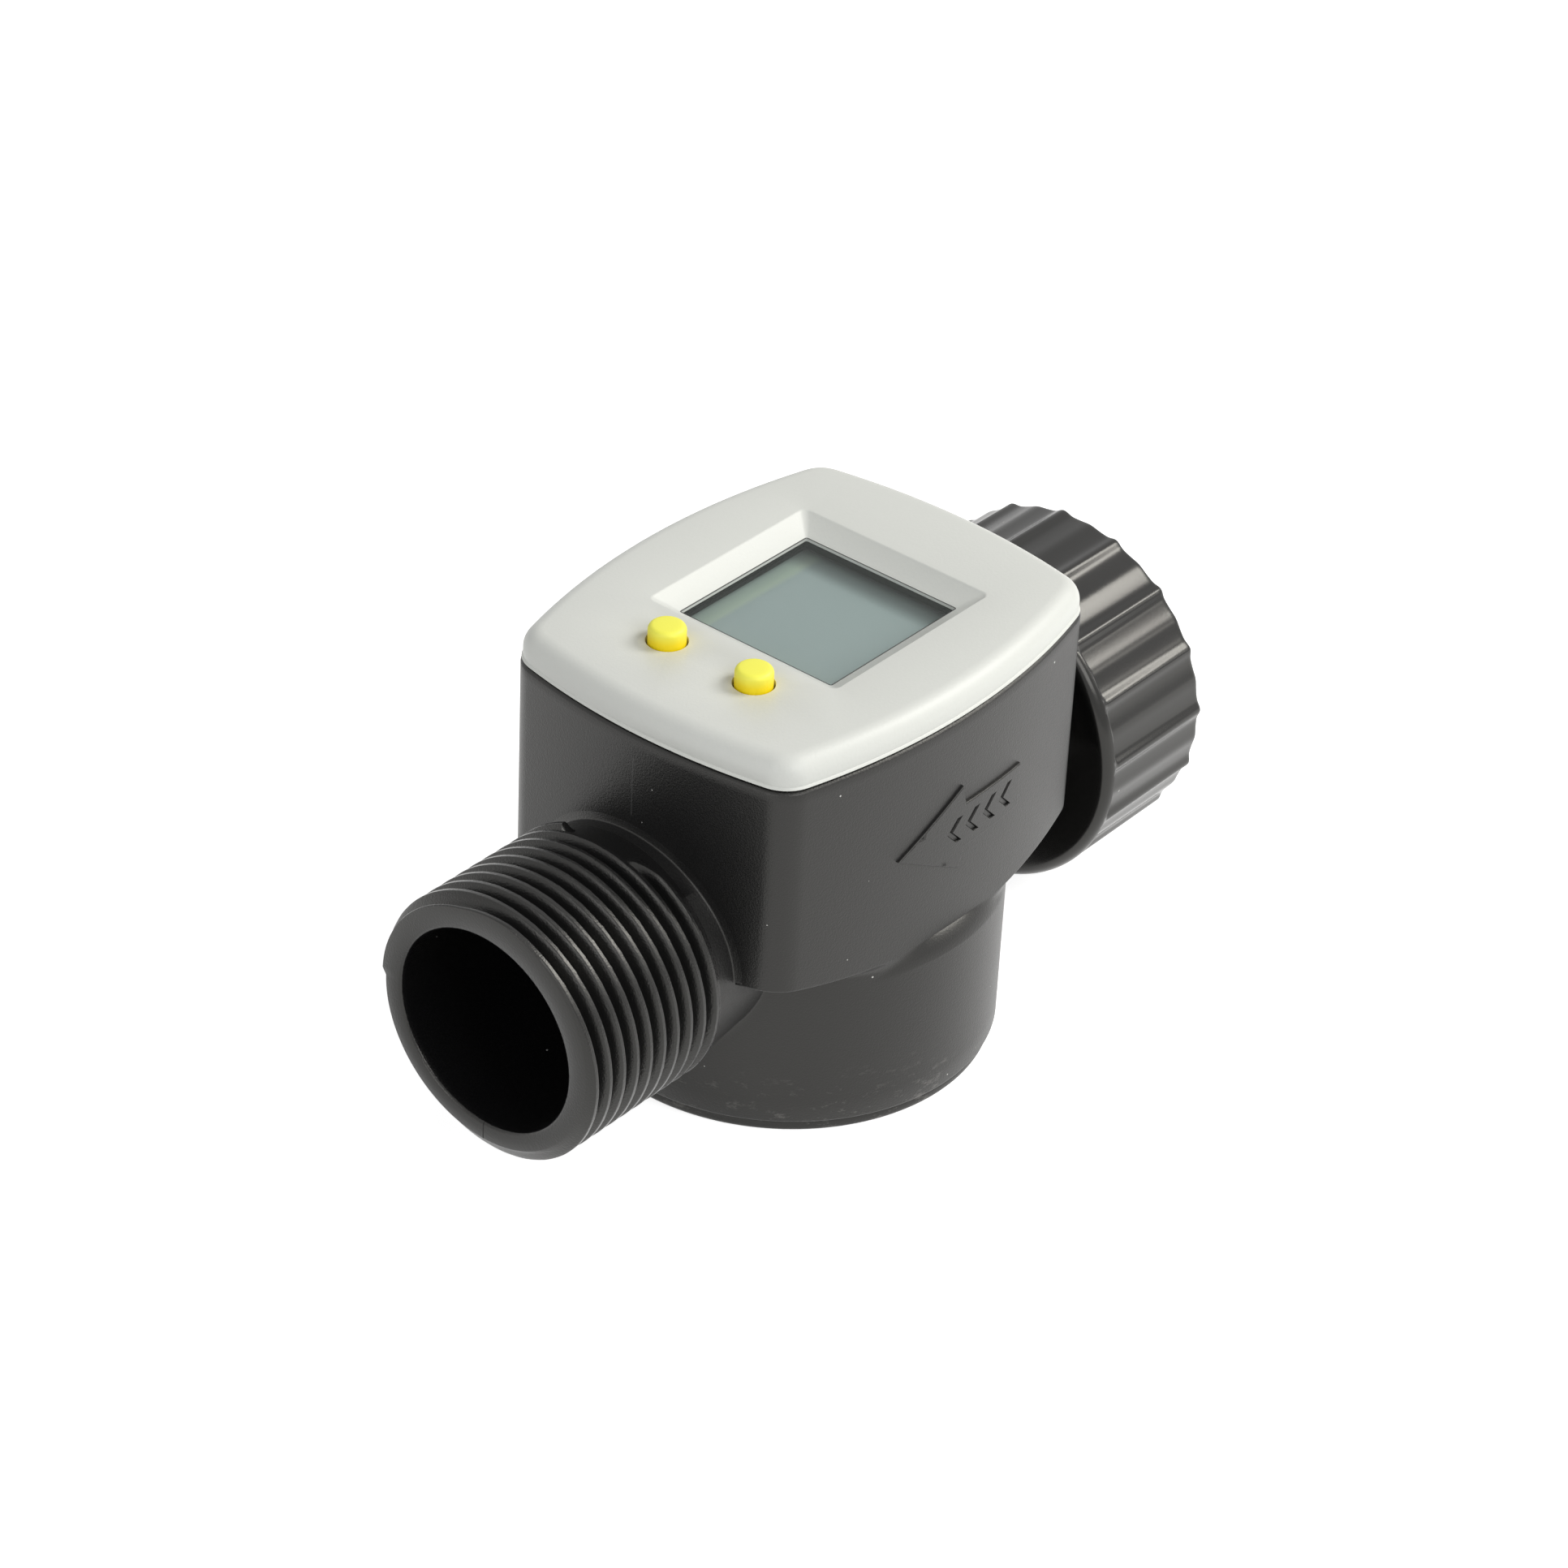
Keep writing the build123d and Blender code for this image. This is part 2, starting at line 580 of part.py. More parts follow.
# Ring magnet in the wheel's cup
with BuildPart() as wheel_magnet:
    with BuildSketch(Plane.XY.offset(WHEEL_TOP_Z - MAGNET_H)):
        Circle(MAGNET_R)
        Circle(HUB_R + SEAT_GAP, mode=Mode.SUBTRACT)
    extrude(amount=MAGNET_H)
save(wheel_magnet.part, "wheel_magnet")

# Jet ring on the cap: slanted slots on the inlet and the outlet side
with BuildPart() as jet_ring:
    with BuildSketch(Plane.XY.offset(CAP_RIM_H + CAP_PLUG_H)):
        Circle(JET_RING_R)
        Circle(JET_RING_R - JET_RING_WALL, mode=Mode.SUBTRACT)
    extrude(amount=CHAMBER_TOP_Z - JET_RING_GAP - CAP_RIM_H - CAP_PLUG_H)
    with BuildSketch(Plane.XY.offset(PIPE_Z - JET_H / 2)):
        for middle in (0, 180):
            with PolarLocations(
                JET_RING_R - JET_RING_WALL / 2,
                JET_COUNT,
                start_angle=middle - JET_STEP,
                angular_range=2 * JET_STEP,
                endpoint=True,
            ):
                Rectangle(JET_CUT * JET_RING_WALL, JET_W, rotation=JET_ANGLE)
    extrude(amount=JET_H, mode=Mode.SUBTRACT)
save(jet_ring.part, "jet_ring")

# Strainer in the end of the tail
with BuildPart() as inlet_strainer:
    with BuildSketch(Plane.YZ.offset(TAIL_END_X - STRAINER_T)):
        with Locations((0, PIPE_Z)):
            Circle(STRAINER_R)
    extrude(amount=STRAINER_T)
    with BuildSketch(Plane.YZ.offset(TAIL_END_X - STRAINER_T)):
        with Locations((0, PIPE_Z)), GridLocations(STRAINER_SLOT + STRAINER_BAR, 1, STRAINER_SLOTS, 1):
            Rectangle(STRAINER_SLOT, 2 * STRAINER_R)
        with Locations((0, PIPE_Z)):
            Circle(STRAINER_R - STRAINER_RIM, mode=Mode.INTERSECT)
    extrude(amount=STRAINER_T, mode=Mode.SUBTRACT)
save(inlet_strainer.part, "inlet_strainer")

# Flat washer that the hose is drawn up against
with BuildPart() as hose_washer:
    with BuildSketch(Plane.YZ.offset(TAIL_END_X)):
        with Locations((0, PIPE_Z)):
            Circle(WASHER_R)
            Circle(WASHER_BORE_R, mode=Mode.SUBTRACT)
    extrude(amount=WASHER_T)
save(hose_washer.part, "hose_washer")

# Swivel nut: ribbed grip, rounded shoulder, lip behind the collar
with BuildPart() as swivel_nut:
    with BuildSketch(Plane.YZ.offset(NUT_FACE_X)):
        with Locations((0, PIPE_Z)):
            Circle(NUT_R)
            with PolarLocations(NUT_R + NUT_RIB_PROUD - NUT_RIB_R, NUT_RIB_COUNT, start_angle=NUT_RIB_PHASE):
                Circle(NUT_RIB_R)
    extrude(amount=NUT_BACK_X - NUT_FACE_X)
    with BuildSketch(Plane.XZ) as envelope:
        with Locations(((NUT_FACE_X + NUT_BACK_X) / 2, PIPE_Z + (NUT_R + NUT_RIB_PROUD) / 2)):
            Rectangle(NUT_BACK_X - NUT_FACE_X, NUT_R + NUT_RIB_PROUD)
        outer_corners = envelope.vertices().group_by(Axis.Y)[-1].sort_by(Axis.X)
        fillet(outer_corners[0], NUT_SHOULDER)
        outer_corners = envelope.vertices().group_by(Axis.Y)[-1].sort_by(Axis.X)
        chamfer(outer_corners[-1], NUT_BACK_EDGE)
    revolve(axis=pipe_axis, mode=Mode.INTERSECT)
    with BuildSketch(Plane.YZ.offset(NUT_FACE_X)):
        with Locations((0, PIPE_Z)):
            Circle(LIP_BORE_R)
    extrude(amount=NUT_LIP_W, mode=Mode.SUBTRACT)
    with BuildSketch(Plane.YZ.offset(NUT_LIP_X)):
        with Locations((0, PIPE_Z)):
            Circle(NUT_THREAD_R)
    extrude(amount=NUT_BACK_X - NUT_LIP_X, mode=Mode.SUBTRACT)
    mouth = swivel_nut.edges().group_by(Axis.X)[-1].sort_by(SortBy.LENGTH)[-1]
    chamfer(mouth, NUT_MOUTH_CHAMFER)
save(swivel_nut.part, "swivel_nut")

# Top cover: rounded plate with the sloped display opening, skirt and bead below
with BuildPart() as top_cover:
    with BuildSketch(Plane.XY.offset(COVER_BASE_Z)):
        add(case_outline(-COVER_INSET))
    extrude(amount=COVER_TOP_Z - COVER_BASE_Z)
    fillet(top_cover.edges().group_by(Axis.Z)[-1], COVER_ROUND)
    with BuildSketch(Plane.XY.offset(COVER_BASE_Z)):
        add(case_outline(-COVER_RIM_W))
    extrude(amount=PLATE_UNDER_Z - COVER_BASE_Z, mode=Mode.SUBTRACT)
    with BuildSketch(Plane.XY.offset(SKIRT_BOTTOM_Z)):
        add(case_outline(-(CASE_LIP + SKIRT_GAP)))
        add(case_outline(-(CASE_LIP + SKIRT_GAP + SKIRT_W)), mode=Mode.SUBTRACT)
    extrude(amount=SKIRT_H)
    with BuildSketch(Plane.XY.offset(SNAP_Z)):
        add(case_outline(-(CASE_LIP + SKIRT_GAP - SNAP_OUT)))
        add(case_outline(-(CASE_LIP + SKIRT_GAP + SKIRT_W / 2)), mode=Mode.SUBTRACT)
    extrude(amount=SNAP_H)
    with BuildSketch(Plane.XY.offset(WINDOW_Z)):
        with Locations((SIGHT_X, 0)):
            Rectangle(HOLDER_LX, HOLDER_LY)
    extrude(amount=PLATE_UNDER_Z - WINDOW_Z)
    with BuildSketch(Plane.XY.offset(WINDOW_Z)):
        with Locations((SIGHT_X, 0)):
            Rectangle(WINDOW_LX + 2 * WINDOW_GAP, WINDOW_LY + 2 * WINDOW_GAP)
    extrude(amount=WINDOW_T, mode=Mode.SUBTRACT)
    for z, lx, ly in ((WINDOW_TOP_Z, GLASS_LX, GLASS_LY), (COVER_TOP_Z, SIGHT_LX, SIGHT_LY)):
        with BuildSketch(Plane.XY.offset(z)):
            with Locations((SIGHT_X, 0)):
                Rectangle(lx, ly)
    loft(mode=Mode.SUBTRACT)
    with BuildSketch(Plane.XY.offset(PLATE_UNDER_Z)):
        with Locations((BUTTON_X, BUTTON_HALF_PITCH), (BUTTON_X, -BUTTON_HALF_PITCH)):
            Circle(BUTTON_R + BUTTON_HOLE_GAP)
    extrude(amount=COVER_PLATE, mode=Mode.SUBTRACT)
save(top_cover.part, "top_cover")

# Gasket between the skirt and the ledge
with BuildPart() as cover_gasket:
    with BuildSketch(Plane.XY.offset(LEDGE_Z)):
        add(case_outline(-(CASE_LIP + SKIRT_GAP)))
        add(case_outline(-CASE_WALL), mode=Mode.SUBTRACT)
    extrude(amount=GASKET_H)
save(cover_gasket.part, "cover_gasket")

# Clear window held under the plate
with BuildPart() as display_window:
    with BuildSketch(Plane.XY.offset(WINDOW_Z)):
        with Locations((SIGHT_X, 0)):
            Rectangle(WINDOW_LX, WINDOW_LY)
    extrude(amount=WINDOW_T)
save(display_window.part, "display_window")

# Display glass
with BuildPart() as display_glass:
    with BuildSketch(Plane.XY.offset(LCD_Z)):
        with Locations((SIGHT_X, 0)):
            Rectangle(LCD_LX, LCD_LY)
    extrude(amount=LCD_T)
save(display_glass.part, "display_glass")

# Frame that stands on the board round the display glass
with BuildPart() as display_frame:
    with BuildSketch(Plane.XY.offset(BOARD_TOP_Z)):
        with Locations((SIGHT_X, 0)):
            Rectangle(FRAME_LX, FRAME_LY)
            Rectangle(LCD_LX + 2 * LCD_GAP, LCD_LY + 2 * LCD_GAP, mode=Mode.SUBTRACT)
    extrude(amount=WINDOW_Z - FRAME_TOP_GAP - BOARD_TOP_Z)
    chamfer(display_frame.edges().group_by(Axis.Z)[-1].filter_by(Axis.X), FRAME_EDGE)
save(display_frame.part, "display_frame")

# Elastomer strips, which join the display glass to the board
for side, sign in SIDES.items():
    with BuildPart() as strip:
        with BuildSketch(Plane.XY.offset(BOARD_TOP_Z)):
            with Locations((SIGHT_X, sign * (LCD_LY / 2 - ZEBRA_INSET - ZEBRA_W / 2))):
                Rectangle(LCD_LX - 2 * ZEBRA_INSET, ZEBRA_W)
        extrude(amount=LCD_Z - BOARD_TOP_Z)
    save(strip.part, f"contact_strip_{side}")

# Push buttons, with a flange under the cover
for side, sign in SIDES.items():
    with BuildPart() as button:
        with BuildSketch(Plane.XY.offset(BUTTON_FOOT_Z)):
            with Locations((BUTTON_X, sign * BUTTON_HALF_PITCH)):
                Circle(BUTTON_R)
        extrude(amount=BUTTON_TOP_Z - BUTTON_FOOT_Z)
        fillet(button.edges().group_by(Axis.Z)[-1], BUTTON_ROUND)
        with BuildSketch(Plane.XY.offset(BUTTON_FOOT_Z)):
            with Locations((BUTTON_X, sign * BUTTON_HALF_PITCH)):
                Circle(BUTTON_FLANGE_R)
        extrude(amount=BUTTON_FLANGE_H)
    save(button.part, f"button_{side}")

    with BuildPart() as plunger:
        with BuildSketch(Plane.XY.offset(PLUNGER_Z)):
            with Locations((BUTTON_X, sign * BUTTON_HALF_PITCH)):
                Circle(PLUNGER_R)
        extrude(amount=BUTTON_FOOT_Z - PLUNGER_Z)
    save(plunger.part, f"switch_plunger_{side}")

    with BuildPart() as switch:
        with BuildSketch(Plane.XY.offset(BOARD_TOP_Z)):
            with Locations((BUTTON_X, sign * BUTTON_HALF_PITCH)):
                Rectangle(SWITCH_SIDE, SWITCH_SIDE)
        extrude(amount=SWITCH_H)
        chamfer(switch.edges().filter_by(Axis.Z), SWITCH_EDGE)
        with BuildSketch(Plane.XY.offset(WELL_Z)):
            with Locations((BUTTON_X, sign * BUTTON_HALF_PITCH)):
                Circle(SWITCH_WELL_R)
        extrude(amount=SWITCH_TOP_Z - WELL_Z, mode=Mode.SUBTRACT)
    save(switch.part, f"push_switch_{side}")

# Circuit board
with BuildPart() as circuit_board:
    with BuildSketch(Plane.XY.offset(BOARD_Z)):
        add(case_outline(-(CASE_WALL + BOARD_GAP)))
        with Locations((CASE_SHIFT_X, 0)), GridLocations(2 * POST_HALF_X, 2 * POST_HALF_Y, 2, 2):
            Circle(SCREW_R + BOARD_HOLE_GAP, mode=Mode.SUBTRACT)
    extrude(amount=BOARD_T)
save(circuit_board.part, "circuit_board")

# Screws that hold the board on its posts
for number, (along, across) in POSTS.items():
    screw_x = CASE_SHIFT_X + along * POST_HALF_X
    screw_y = across * POST_HALF_Y
    with BuildPart() as screw:
        with BuildSketch(Plane.XY.offset(BOARD_TOP_Z)):
            with Locations((screw_x, screw_y)):
                Circle(SCREW_HEAD_R)
        extrude(amount=SCREW_HEAD_H)
        chamfer(screw.edges().group_by(Axis.Z)[-1], SCREW_HEAD_EDGE)
        with BuildSketch(Plane.XY.offset(BOARD_TOP_Z + SCREW_HEAD_H)):
            with Locations((screw_x, screw_y)):
                Rectangle(SCREW_HEAD_R, SCREW_CROSS_W)
                Rectangle(SCREW_CROSS_W, SCREW_HEAD_R)
        extrude(amount=-SCREW_RECESS, mode=Mode.SUBTRACT)
        with BuildSketch(Plane.XY.offset(BOARD_TOP_Z)):
            with Locations((screw_x, screw_y)):
                Circle(SCREW_R)
        extrude(amount=-SCREW_LENGTH)
        chamfer(screw.edges().group_by(Axis.Z)[0], SCREW_TIP)
    save(screw.part, f"board_screw_{number}")

# Coin cell under the board
with BuildPart() as coin_cell:
    with BuildSketch(Plane.XY.offset(CELL_Z)):
        with Locations((CELL_X, 0)):
            Circle(CELL_R)
    extrude(amount=CELL_T)
    chamfer(coin_cell.edges().group_by(Axis.Z)[-1] + coin_cell.edges().group_by(Axis.Z)[0], CELL_EDGE)
save(coin_cell.part, "coin_cell")

# Clip over the top of the cell and down its side, and the spring tongue below it
with BuildPart() as cell_clip:
    with BuildSketch(Plane.XZ.offset(-CONTACT_W / 2)):
        with BuildLine():
            Polyline(
                (CELL_X, BOARD_Z),
                (CELL_X + CELL_R + CONTACT_GAP + CONTACT_T, BOARD_Z),
                (CELL_X + CELL_R + CONTACT_GAP + CONTACT_T, CELL_Z),
                (CELL_X + CELL_R + CONTACT_GAP, CELL_Z),
                (CELL_X + CELL_R + CONTACT_GAP, BOARD_Z - CONTACT_T),
                (CELL_X, BOARD_Z - CONTACT_T),
                close=True,
            )
        make_face()
    extrude(amount=CONTACT_W)
save(cell_clip.part, "cell_clip")

with BuildPart() as cell_spring:
    with BuildSketch(Plane.XZ.offset(-CONTACT_W / 2)):
        with BuildLine():
            Polyline(
                (CELL_X, CELL_Z),
                (CELL_X - CELL_R - CONTACT_GAP, CELL_Z),
                (CELL_X - CELL_R - CONTACT_GAP, BOARD_Z),
                (CELL_X - CELL_R - CONTACT_GAP - CONTACT_T, BOARD_Z),
                (CELL_X - CELL_R - CONTACT_GAP - CONTACT_T, CELL_Z - CONTACT_T),
                (CELL_X, CELL_Z - CONTACT_T),
                close=True,
            )
        make_face()
    extrude(amount=CONTACT_W)
save(cell_spring.part, "cell_spring")

# Reed switch over the wheel's magnet: glass capsule on two bent leads
with BuildPart() as reed_switch:
    with BuildSketch(Plane.XZ.offset(-REED_LENGTH / 2)):
        with Locations((REED_X, REED_Z)):
            Circle(REED_R)
    extrude(amount=REED_LENGTH)
    chamfer(reed_switch.edges().filter_by(GeomType.CIRCLE), REED_END_EDGE)
    for sign in SIDES.values():
        with BuildSketch(Plane.XY.offset(REED_Z - REED_LEAD / 2)):
            with Locations((REED_X, sign * (REED_SPAN + REED_LENGTH) / 4)):
                Rectangle(REED_LEAD, (REED_SPAN - REED_LENGTH) / 2 + REED_LEAD)
        extrude(amount=REED_LEAD)
        with BuildSketch(Plane.XY.offset(REED_Z - REED_LEAD / 2)):
            with Locations((REED_X, sign * REED_SPAN / 2)):
                Rectangle(REED_LEAD, REED_LEAD)
        extrude(amount=BOARD_Z - REED_Z + REED_LEAD / 2)
save(reed_switch.part, "reed_switch")

# Controller under its drop of resin
with BuildPart() as controller:
    with BuildSketch(Plane.XY.offset(BOARD_TOP_Z)):
        with Locations((CHIP_X, 0)):
            Circle(CHIP_R)
    extrude(amount=CHIP_H)
    chamfer(controller.edges().group_by(Axis.Z)[-1], CHIP_H * CHIP_DOME, CHIP_R / 2)
save(controller.part, "controller")

# Clock crystal lying on the board
with BuildPart() as clock_crystal:
    with BuildSketch(Plane.XZ.offset(-CRYSTAL_LENGTH / 2)):
        with Locations((CRYSTAL_X, BOARD_TOP_Z + CRYSTAL_R)):
            Circle(CRYSTAL_R)
    extrude(amount=CRYSTAL_LENGTH)
    chamfer(clock_crystal.edges().filter_by(GeomType.CIRCLE), CRYSTAL_EDGE)
save(clock_crystal.part, "clock_crystal")
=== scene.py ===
"""Looks of the digital water meter: meshes, finishes and studio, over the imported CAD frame.

Lengths inside the mesh code are millimetres in the CAD frame; every mesh is written in metres.
"""
import math

import bpy
import numpy as np
from bpy.props import FloatProperty, FloatVectorProperty, PointerProperty
from bpy.types import Operator, Panel, PropertyGroup
from mathutils import Matrix, Vector
from mathutils.geometry import delaunay_2d_cdt


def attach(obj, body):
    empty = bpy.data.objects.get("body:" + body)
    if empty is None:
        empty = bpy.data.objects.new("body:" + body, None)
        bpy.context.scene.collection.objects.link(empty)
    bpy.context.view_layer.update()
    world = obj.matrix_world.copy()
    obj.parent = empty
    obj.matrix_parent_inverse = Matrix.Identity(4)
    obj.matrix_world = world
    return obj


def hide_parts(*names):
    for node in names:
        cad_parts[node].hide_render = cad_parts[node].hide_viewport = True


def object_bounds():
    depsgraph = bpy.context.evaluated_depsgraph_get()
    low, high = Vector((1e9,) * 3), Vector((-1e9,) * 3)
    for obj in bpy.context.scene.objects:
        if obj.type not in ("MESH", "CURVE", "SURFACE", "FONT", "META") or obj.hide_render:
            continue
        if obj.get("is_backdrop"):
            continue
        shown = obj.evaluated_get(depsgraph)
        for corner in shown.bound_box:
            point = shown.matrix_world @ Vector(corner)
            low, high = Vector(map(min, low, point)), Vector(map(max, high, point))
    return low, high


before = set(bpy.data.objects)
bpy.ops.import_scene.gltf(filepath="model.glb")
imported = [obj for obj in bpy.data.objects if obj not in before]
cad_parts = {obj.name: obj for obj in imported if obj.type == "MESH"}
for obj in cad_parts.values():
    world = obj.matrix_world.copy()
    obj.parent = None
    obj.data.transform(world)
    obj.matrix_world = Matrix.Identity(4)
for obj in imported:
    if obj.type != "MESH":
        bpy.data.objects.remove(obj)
CAD_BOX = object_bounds()

bl_info = {
    "name": "Digital water meter",
    "version": (1, 0, 0),
    "blender": (4, 5, 0),
    "location": "View3D > Sidebar > Water meter",
    "description": "Builds the meshes, finishes and studio of a garden hose water meter",
    "category": "Object",
}

MM = 0.001
PIPE_Z = 19.75

# Case outline from above: four bowed sides and rounded corners
CASE_HALF_X = 23.8
CASE_HALF_Y = 19.7
CASE_BOW_X = 2.0
CASE_BOW_Y = 3.35
CASE_CORNER_R = 3.75
CASE_SHIFT_X = 0.5
CASE_TOP = 42.2
CASE_LIP = 1.4
CASE_LIP_FOOT = 39.2
END_STEPS = 16
CORNER_STEPS = 12
SIDE_STEPS = 30
END_BOW_R = ((CASE_HALF_Y - CASE_BOW_Y) ** 2 + CASE_BOW_X**2) / (2 * CASE_BOW_X)
SIDE_BOW_R = ((CASE_HALF_X - CASE_BOW_X) ** 2 + CASE_BOW_Y**2) / (2 * CASE_BOW_Y)

# Underside cone and round base
CONE_Z = 18.6
CONE_R = 20.5
CONE_SLOPE = 0.293
CONE_BLEND = 0.8
BASE_R = 20.8
BASE_ROLL = 2.4
BASE_TOP = 19.1
BASE_FALL = 6.0
BASE_BLEND = 1.7
BASE_BLEND_R = BASE_R + 0.1
BASE_BLEND_RUN = 1.2
UNDERSIDE_FILLET = 1.4
SEAM_Z = 1.2
OUTLET_CUT_R = 11.3
INLET_CUT_R = 9.8
NEAR_NOTHING = 1e-9

# Round cap under the base: foot, its edge, and the wall that stands in the housing
FOOT_R = 19.9
FOOT_ROUND = 0.5
CAP_WALL = (14.35, 17.35, 7.4)

# Spout with its thread: a ridge has a first and a last turn, in degrees from the top, and a run-in
MOUTH_X = -42.8
BORE_R = 10.18
CREST_R = 13.22
ROOT_R = 12.06
PITCH = 1.814
THREAD_X = -42.62
RIDGES = ((-87.4, 3217.4, 0.8), (3252.0, 3424.4, 16.0))
RUN_OUT = 0.8
CREST_FLAT = 0.2
CREST_ROUND = 0.3
FLANK_FOOT = 0.87
MOUTH_SHARE = 0.42
MOUTH_TURNS = (-14.0, 12.0)
NECK_R = 12.86
NECK_X = -25.2
SPOUT_COLUMNS = 240
SPOUT_STEP = 0.06

# Inlet tail with its collar, and the chamber of the wheel
TAIL_R = 10.9
TAIL_FILLET = 0.45
TAIL_BORE_R = 8.6
TAIL_SEAT_R = 9.9
TAIL_END = 32.4
TAIL_START = 18.0
COLLAR_X = 30.2
COLLAR_R = 11.9
TAIL_COLUMNS = 128
CHAMBER_R = 16.5
SKIN_REACH = 30.0
HALVINGS = 30

# Raised arrow: half of its border as (x, height from its middle), and one chevron from its own tip
ARROW_Z = 30.1
ARROW_TIP = -8.15
ARROW_TAIL = 9.25
ARROW_BACK = ARROW_TIP + 8.1
ARROW_HALF = 4.4
ARROW_BORDER = ((ARROW_BACK, ARROW_HALF), (ARROW_BACK + 0.55, 2.35), (ARROW_TAIL, 2.25))
ARROW_PROUD = 0.3
ARROW_STEP = 0.6
CHEVRON = ((0.0, 0.0), (1.35, -1.35), (2.15, -1.35), (0.8, 0.0), (2.15, 1.35), (1.35, 1.35))
CHEVRONS_X = (-2.0, 0.6, 3.2, 5.8)
CHEVRON_FLOOR = 0.06
CHEVRON_STEP = 0.4
CHEVRON_WALL = 0.1
FIELD_INSET = 0.25
FIELD_SHIFT = (0.11, 0.07)

# Swivel nut
NUT_FRONT = 27.4
NUT_BACK = 43.1
NUT_COLUMNS = 480
NUT_RIBS = 16
NUT_RIB_PHASE = 84.75
NUT_RIBS_X = 28.7
NUT_RIB_START = 0.25
NUT_RIB_RUN = 0.7
NUT_RIB_RISE = 0.52
NUT_RIB_LOSS = 0.12
NUT_RIB_WIDTH = 0.7
NUT_SWELL_RISE = 0.13
NUT_SWELL_WIDTH = 0.85
NUT_BAND_R = 17.12
NUT_BAND_ROUND = 1.15
NUT_EDGE_ROUND = 0.5
NUT_VALLEY_R = 16.56
NUT_THREAD_R = 12.1
NUT_GROOVE = 1.1
NUT_MOUTH_FLARE = 1.16
NUT_LEAD = 0.35
NUT_LEAD_RUN = 1.2
NUT_FLANK = 0.36
NUT_THREAD_STEP = 0.15
NUT_LIP = 2.5
NUT_LIP_R = 11.2
NUT_RELIEF_R = 13.3

# Flat washer in the nut: bore, rim, and the two faces
WASHER_R = (8.4, 11.8)
WASHER_X = (32.4, 35.2)
WASHER_EDGE = 0.2

# Cover with its display opening
COVER_SKIRT = 41.2
COVER_BASE = 42.4
COVER_TOP = 45.36
COVER_INSET = 0.2
COVER_ROUND = 1.9
SIGHT = (-8.65, 13.65, 11.1)
SIGHT_CORNER = 0.75
SIGHT_EDGE = 0.22
SIGHT_DEPTH = 1.5
SIGHT_INSET = 2.0
SIGHT_MIDDLE = (SIGHT[0] + SIGHT[1]) / 2 * MM
SIGHT_REACH_X = ((SIGHT[1] - SIGHT[0]) / 2 - SIGHT_INSET - 0.1) * MM
SIGHT_REACH_Y = (SIGHT[2] - SIGHT_INSET - 0.1) * MM

# Push buttons
BUTTON_X = -12.95
BUTTON_Y = 5.2
BUTTON_HOLE_R = 2.0
HOLE_STEPS = 48
BUTTON_R = 1.8
BUTTON_TOP = COVER_TOP + 1.75
BUTTON_ROUND = 0.55
BUTTON_FOOT = (2.7, 41.95, 42.6)

# Camera at the photograph's viewing angle
VIEW_AZIMUTH = -51.527
VIEW_ELEVATION = 34.024
VIEW_ROLL = 2.904
VIEW_DISTANCE = 477.094
VIEW_TARGET = (-1.309, 0.0, 26.236)
VIEW_LENS = 116.325
VIEW_SENSOR = 36.0
VIEW_CLIP = (0.01, 30.0)

# Lamps: name, side, place and colour, in metres
WHITE = (1.0, 1.0, 1.0)
LAMP_WARM = (1.0, 0.98, 0.93)
LAMP_AIM = (0.0, 0.0, 0.025)
LAMPS = (
    ("key", 0.27, (0.403, -0.293, 0.466), LAMP_WARM),
    ("front", 0.35, (-0.098, -0.52, 0.427), WHITE),
    ("low", 0.13, (0.423, -0.436, 0.256), LAMP_WARM),
    ("fill", 0.35, (-0.59, -0.06, 0.25), WHITE),
)

# Floor
FLOOR_REACH = 6.0
FLOOR_COLOUR = (0.8, 0.8, 0.8)
FLOOR_LIFT = 0.78

# Tones shared by the finishes, and the marks on the housing, in metres
GLOSS_WARM = (1.0, 0.985, 0.94)
LINT_COLOUR = (0.62, 0.62, 0.60)
LINT_SHIFT = (0.31, 0.31, 0.31)
LEAST_SPECK = 0.4
SCUFF_COLOUR = (0.42, 0.41, 0.39)
SCUFF_STRETCH = (1.0, 1.0, 2.2)
SCUFF_HEIGHTS = (0.001, 0.008)
PARTING_COLOUR = (0.10, 0.10, 0.10)
PARTING_X = -0.02
PARTING_HALF = 0.00005
PARTING_HEIGHTS = (0.0336, 0.0399)
SPLIT_X = -0.04265
SPLIT_Y = -0.00017
SPLIT_HALF = 0.00006
SPLIT_TOP = 0.0098
SPOUT_FROM_X = -0.0245
WASHER_COLOUR = (0.025, 0.025, 0.026)
# Painted shade on the lower sides of the push buttons, as shares of their colour, and the heights where it
# gives way to the full colour of the top
BUTTON_PAINTED_SHADE = (1.0, 0.8, 0.03)
BUTTON_PAINTED_SHADE_HEIGHTS = (0.0458, 0.0469)

# Window and display glass: tones, and where the pale line, the painted reflection and the painted shade
# along the edges lie, in metres
HAZE_DARK = (0.34, 0.38, 0.36)
HAZE_PALE = (0.40, 0.44, 0.42)
WINDOW_EDGE_COLOUR = (0.015, 0.015, 0.015)
# The pale colour is a painted reflection on the display glass towards -X, and it also colours the pale
# line along +Y
PALE_COLOUR = (0.42, 0.54, 0.45)
PAINTED_REFLECTION_X = (-0.002, -0.0065)
LINE_Y = (0.0071, 0.0077)
LINE_FADE_Y = (0.008, 0.0096)
PAINTED_SHADE_COLOUR = (0.075, 0.08, 0.08)
PAINTED_SHADE_X = (0.0088, 0.0125)
PAINTED_SHADE_Y = (0.0094, 0.0102)

# Sockets of a Mix node that mixes colours: factor, first and second colour, and the result
MIX_FACTOR, MIX_FIRST, MIX_SECOND, MIX_RESULT = 0, 6, 7, 2

METAL = {"grain": 1500.0, "grain_depth": 0.000004, "spread": 0.08, "metallic": 1.0}

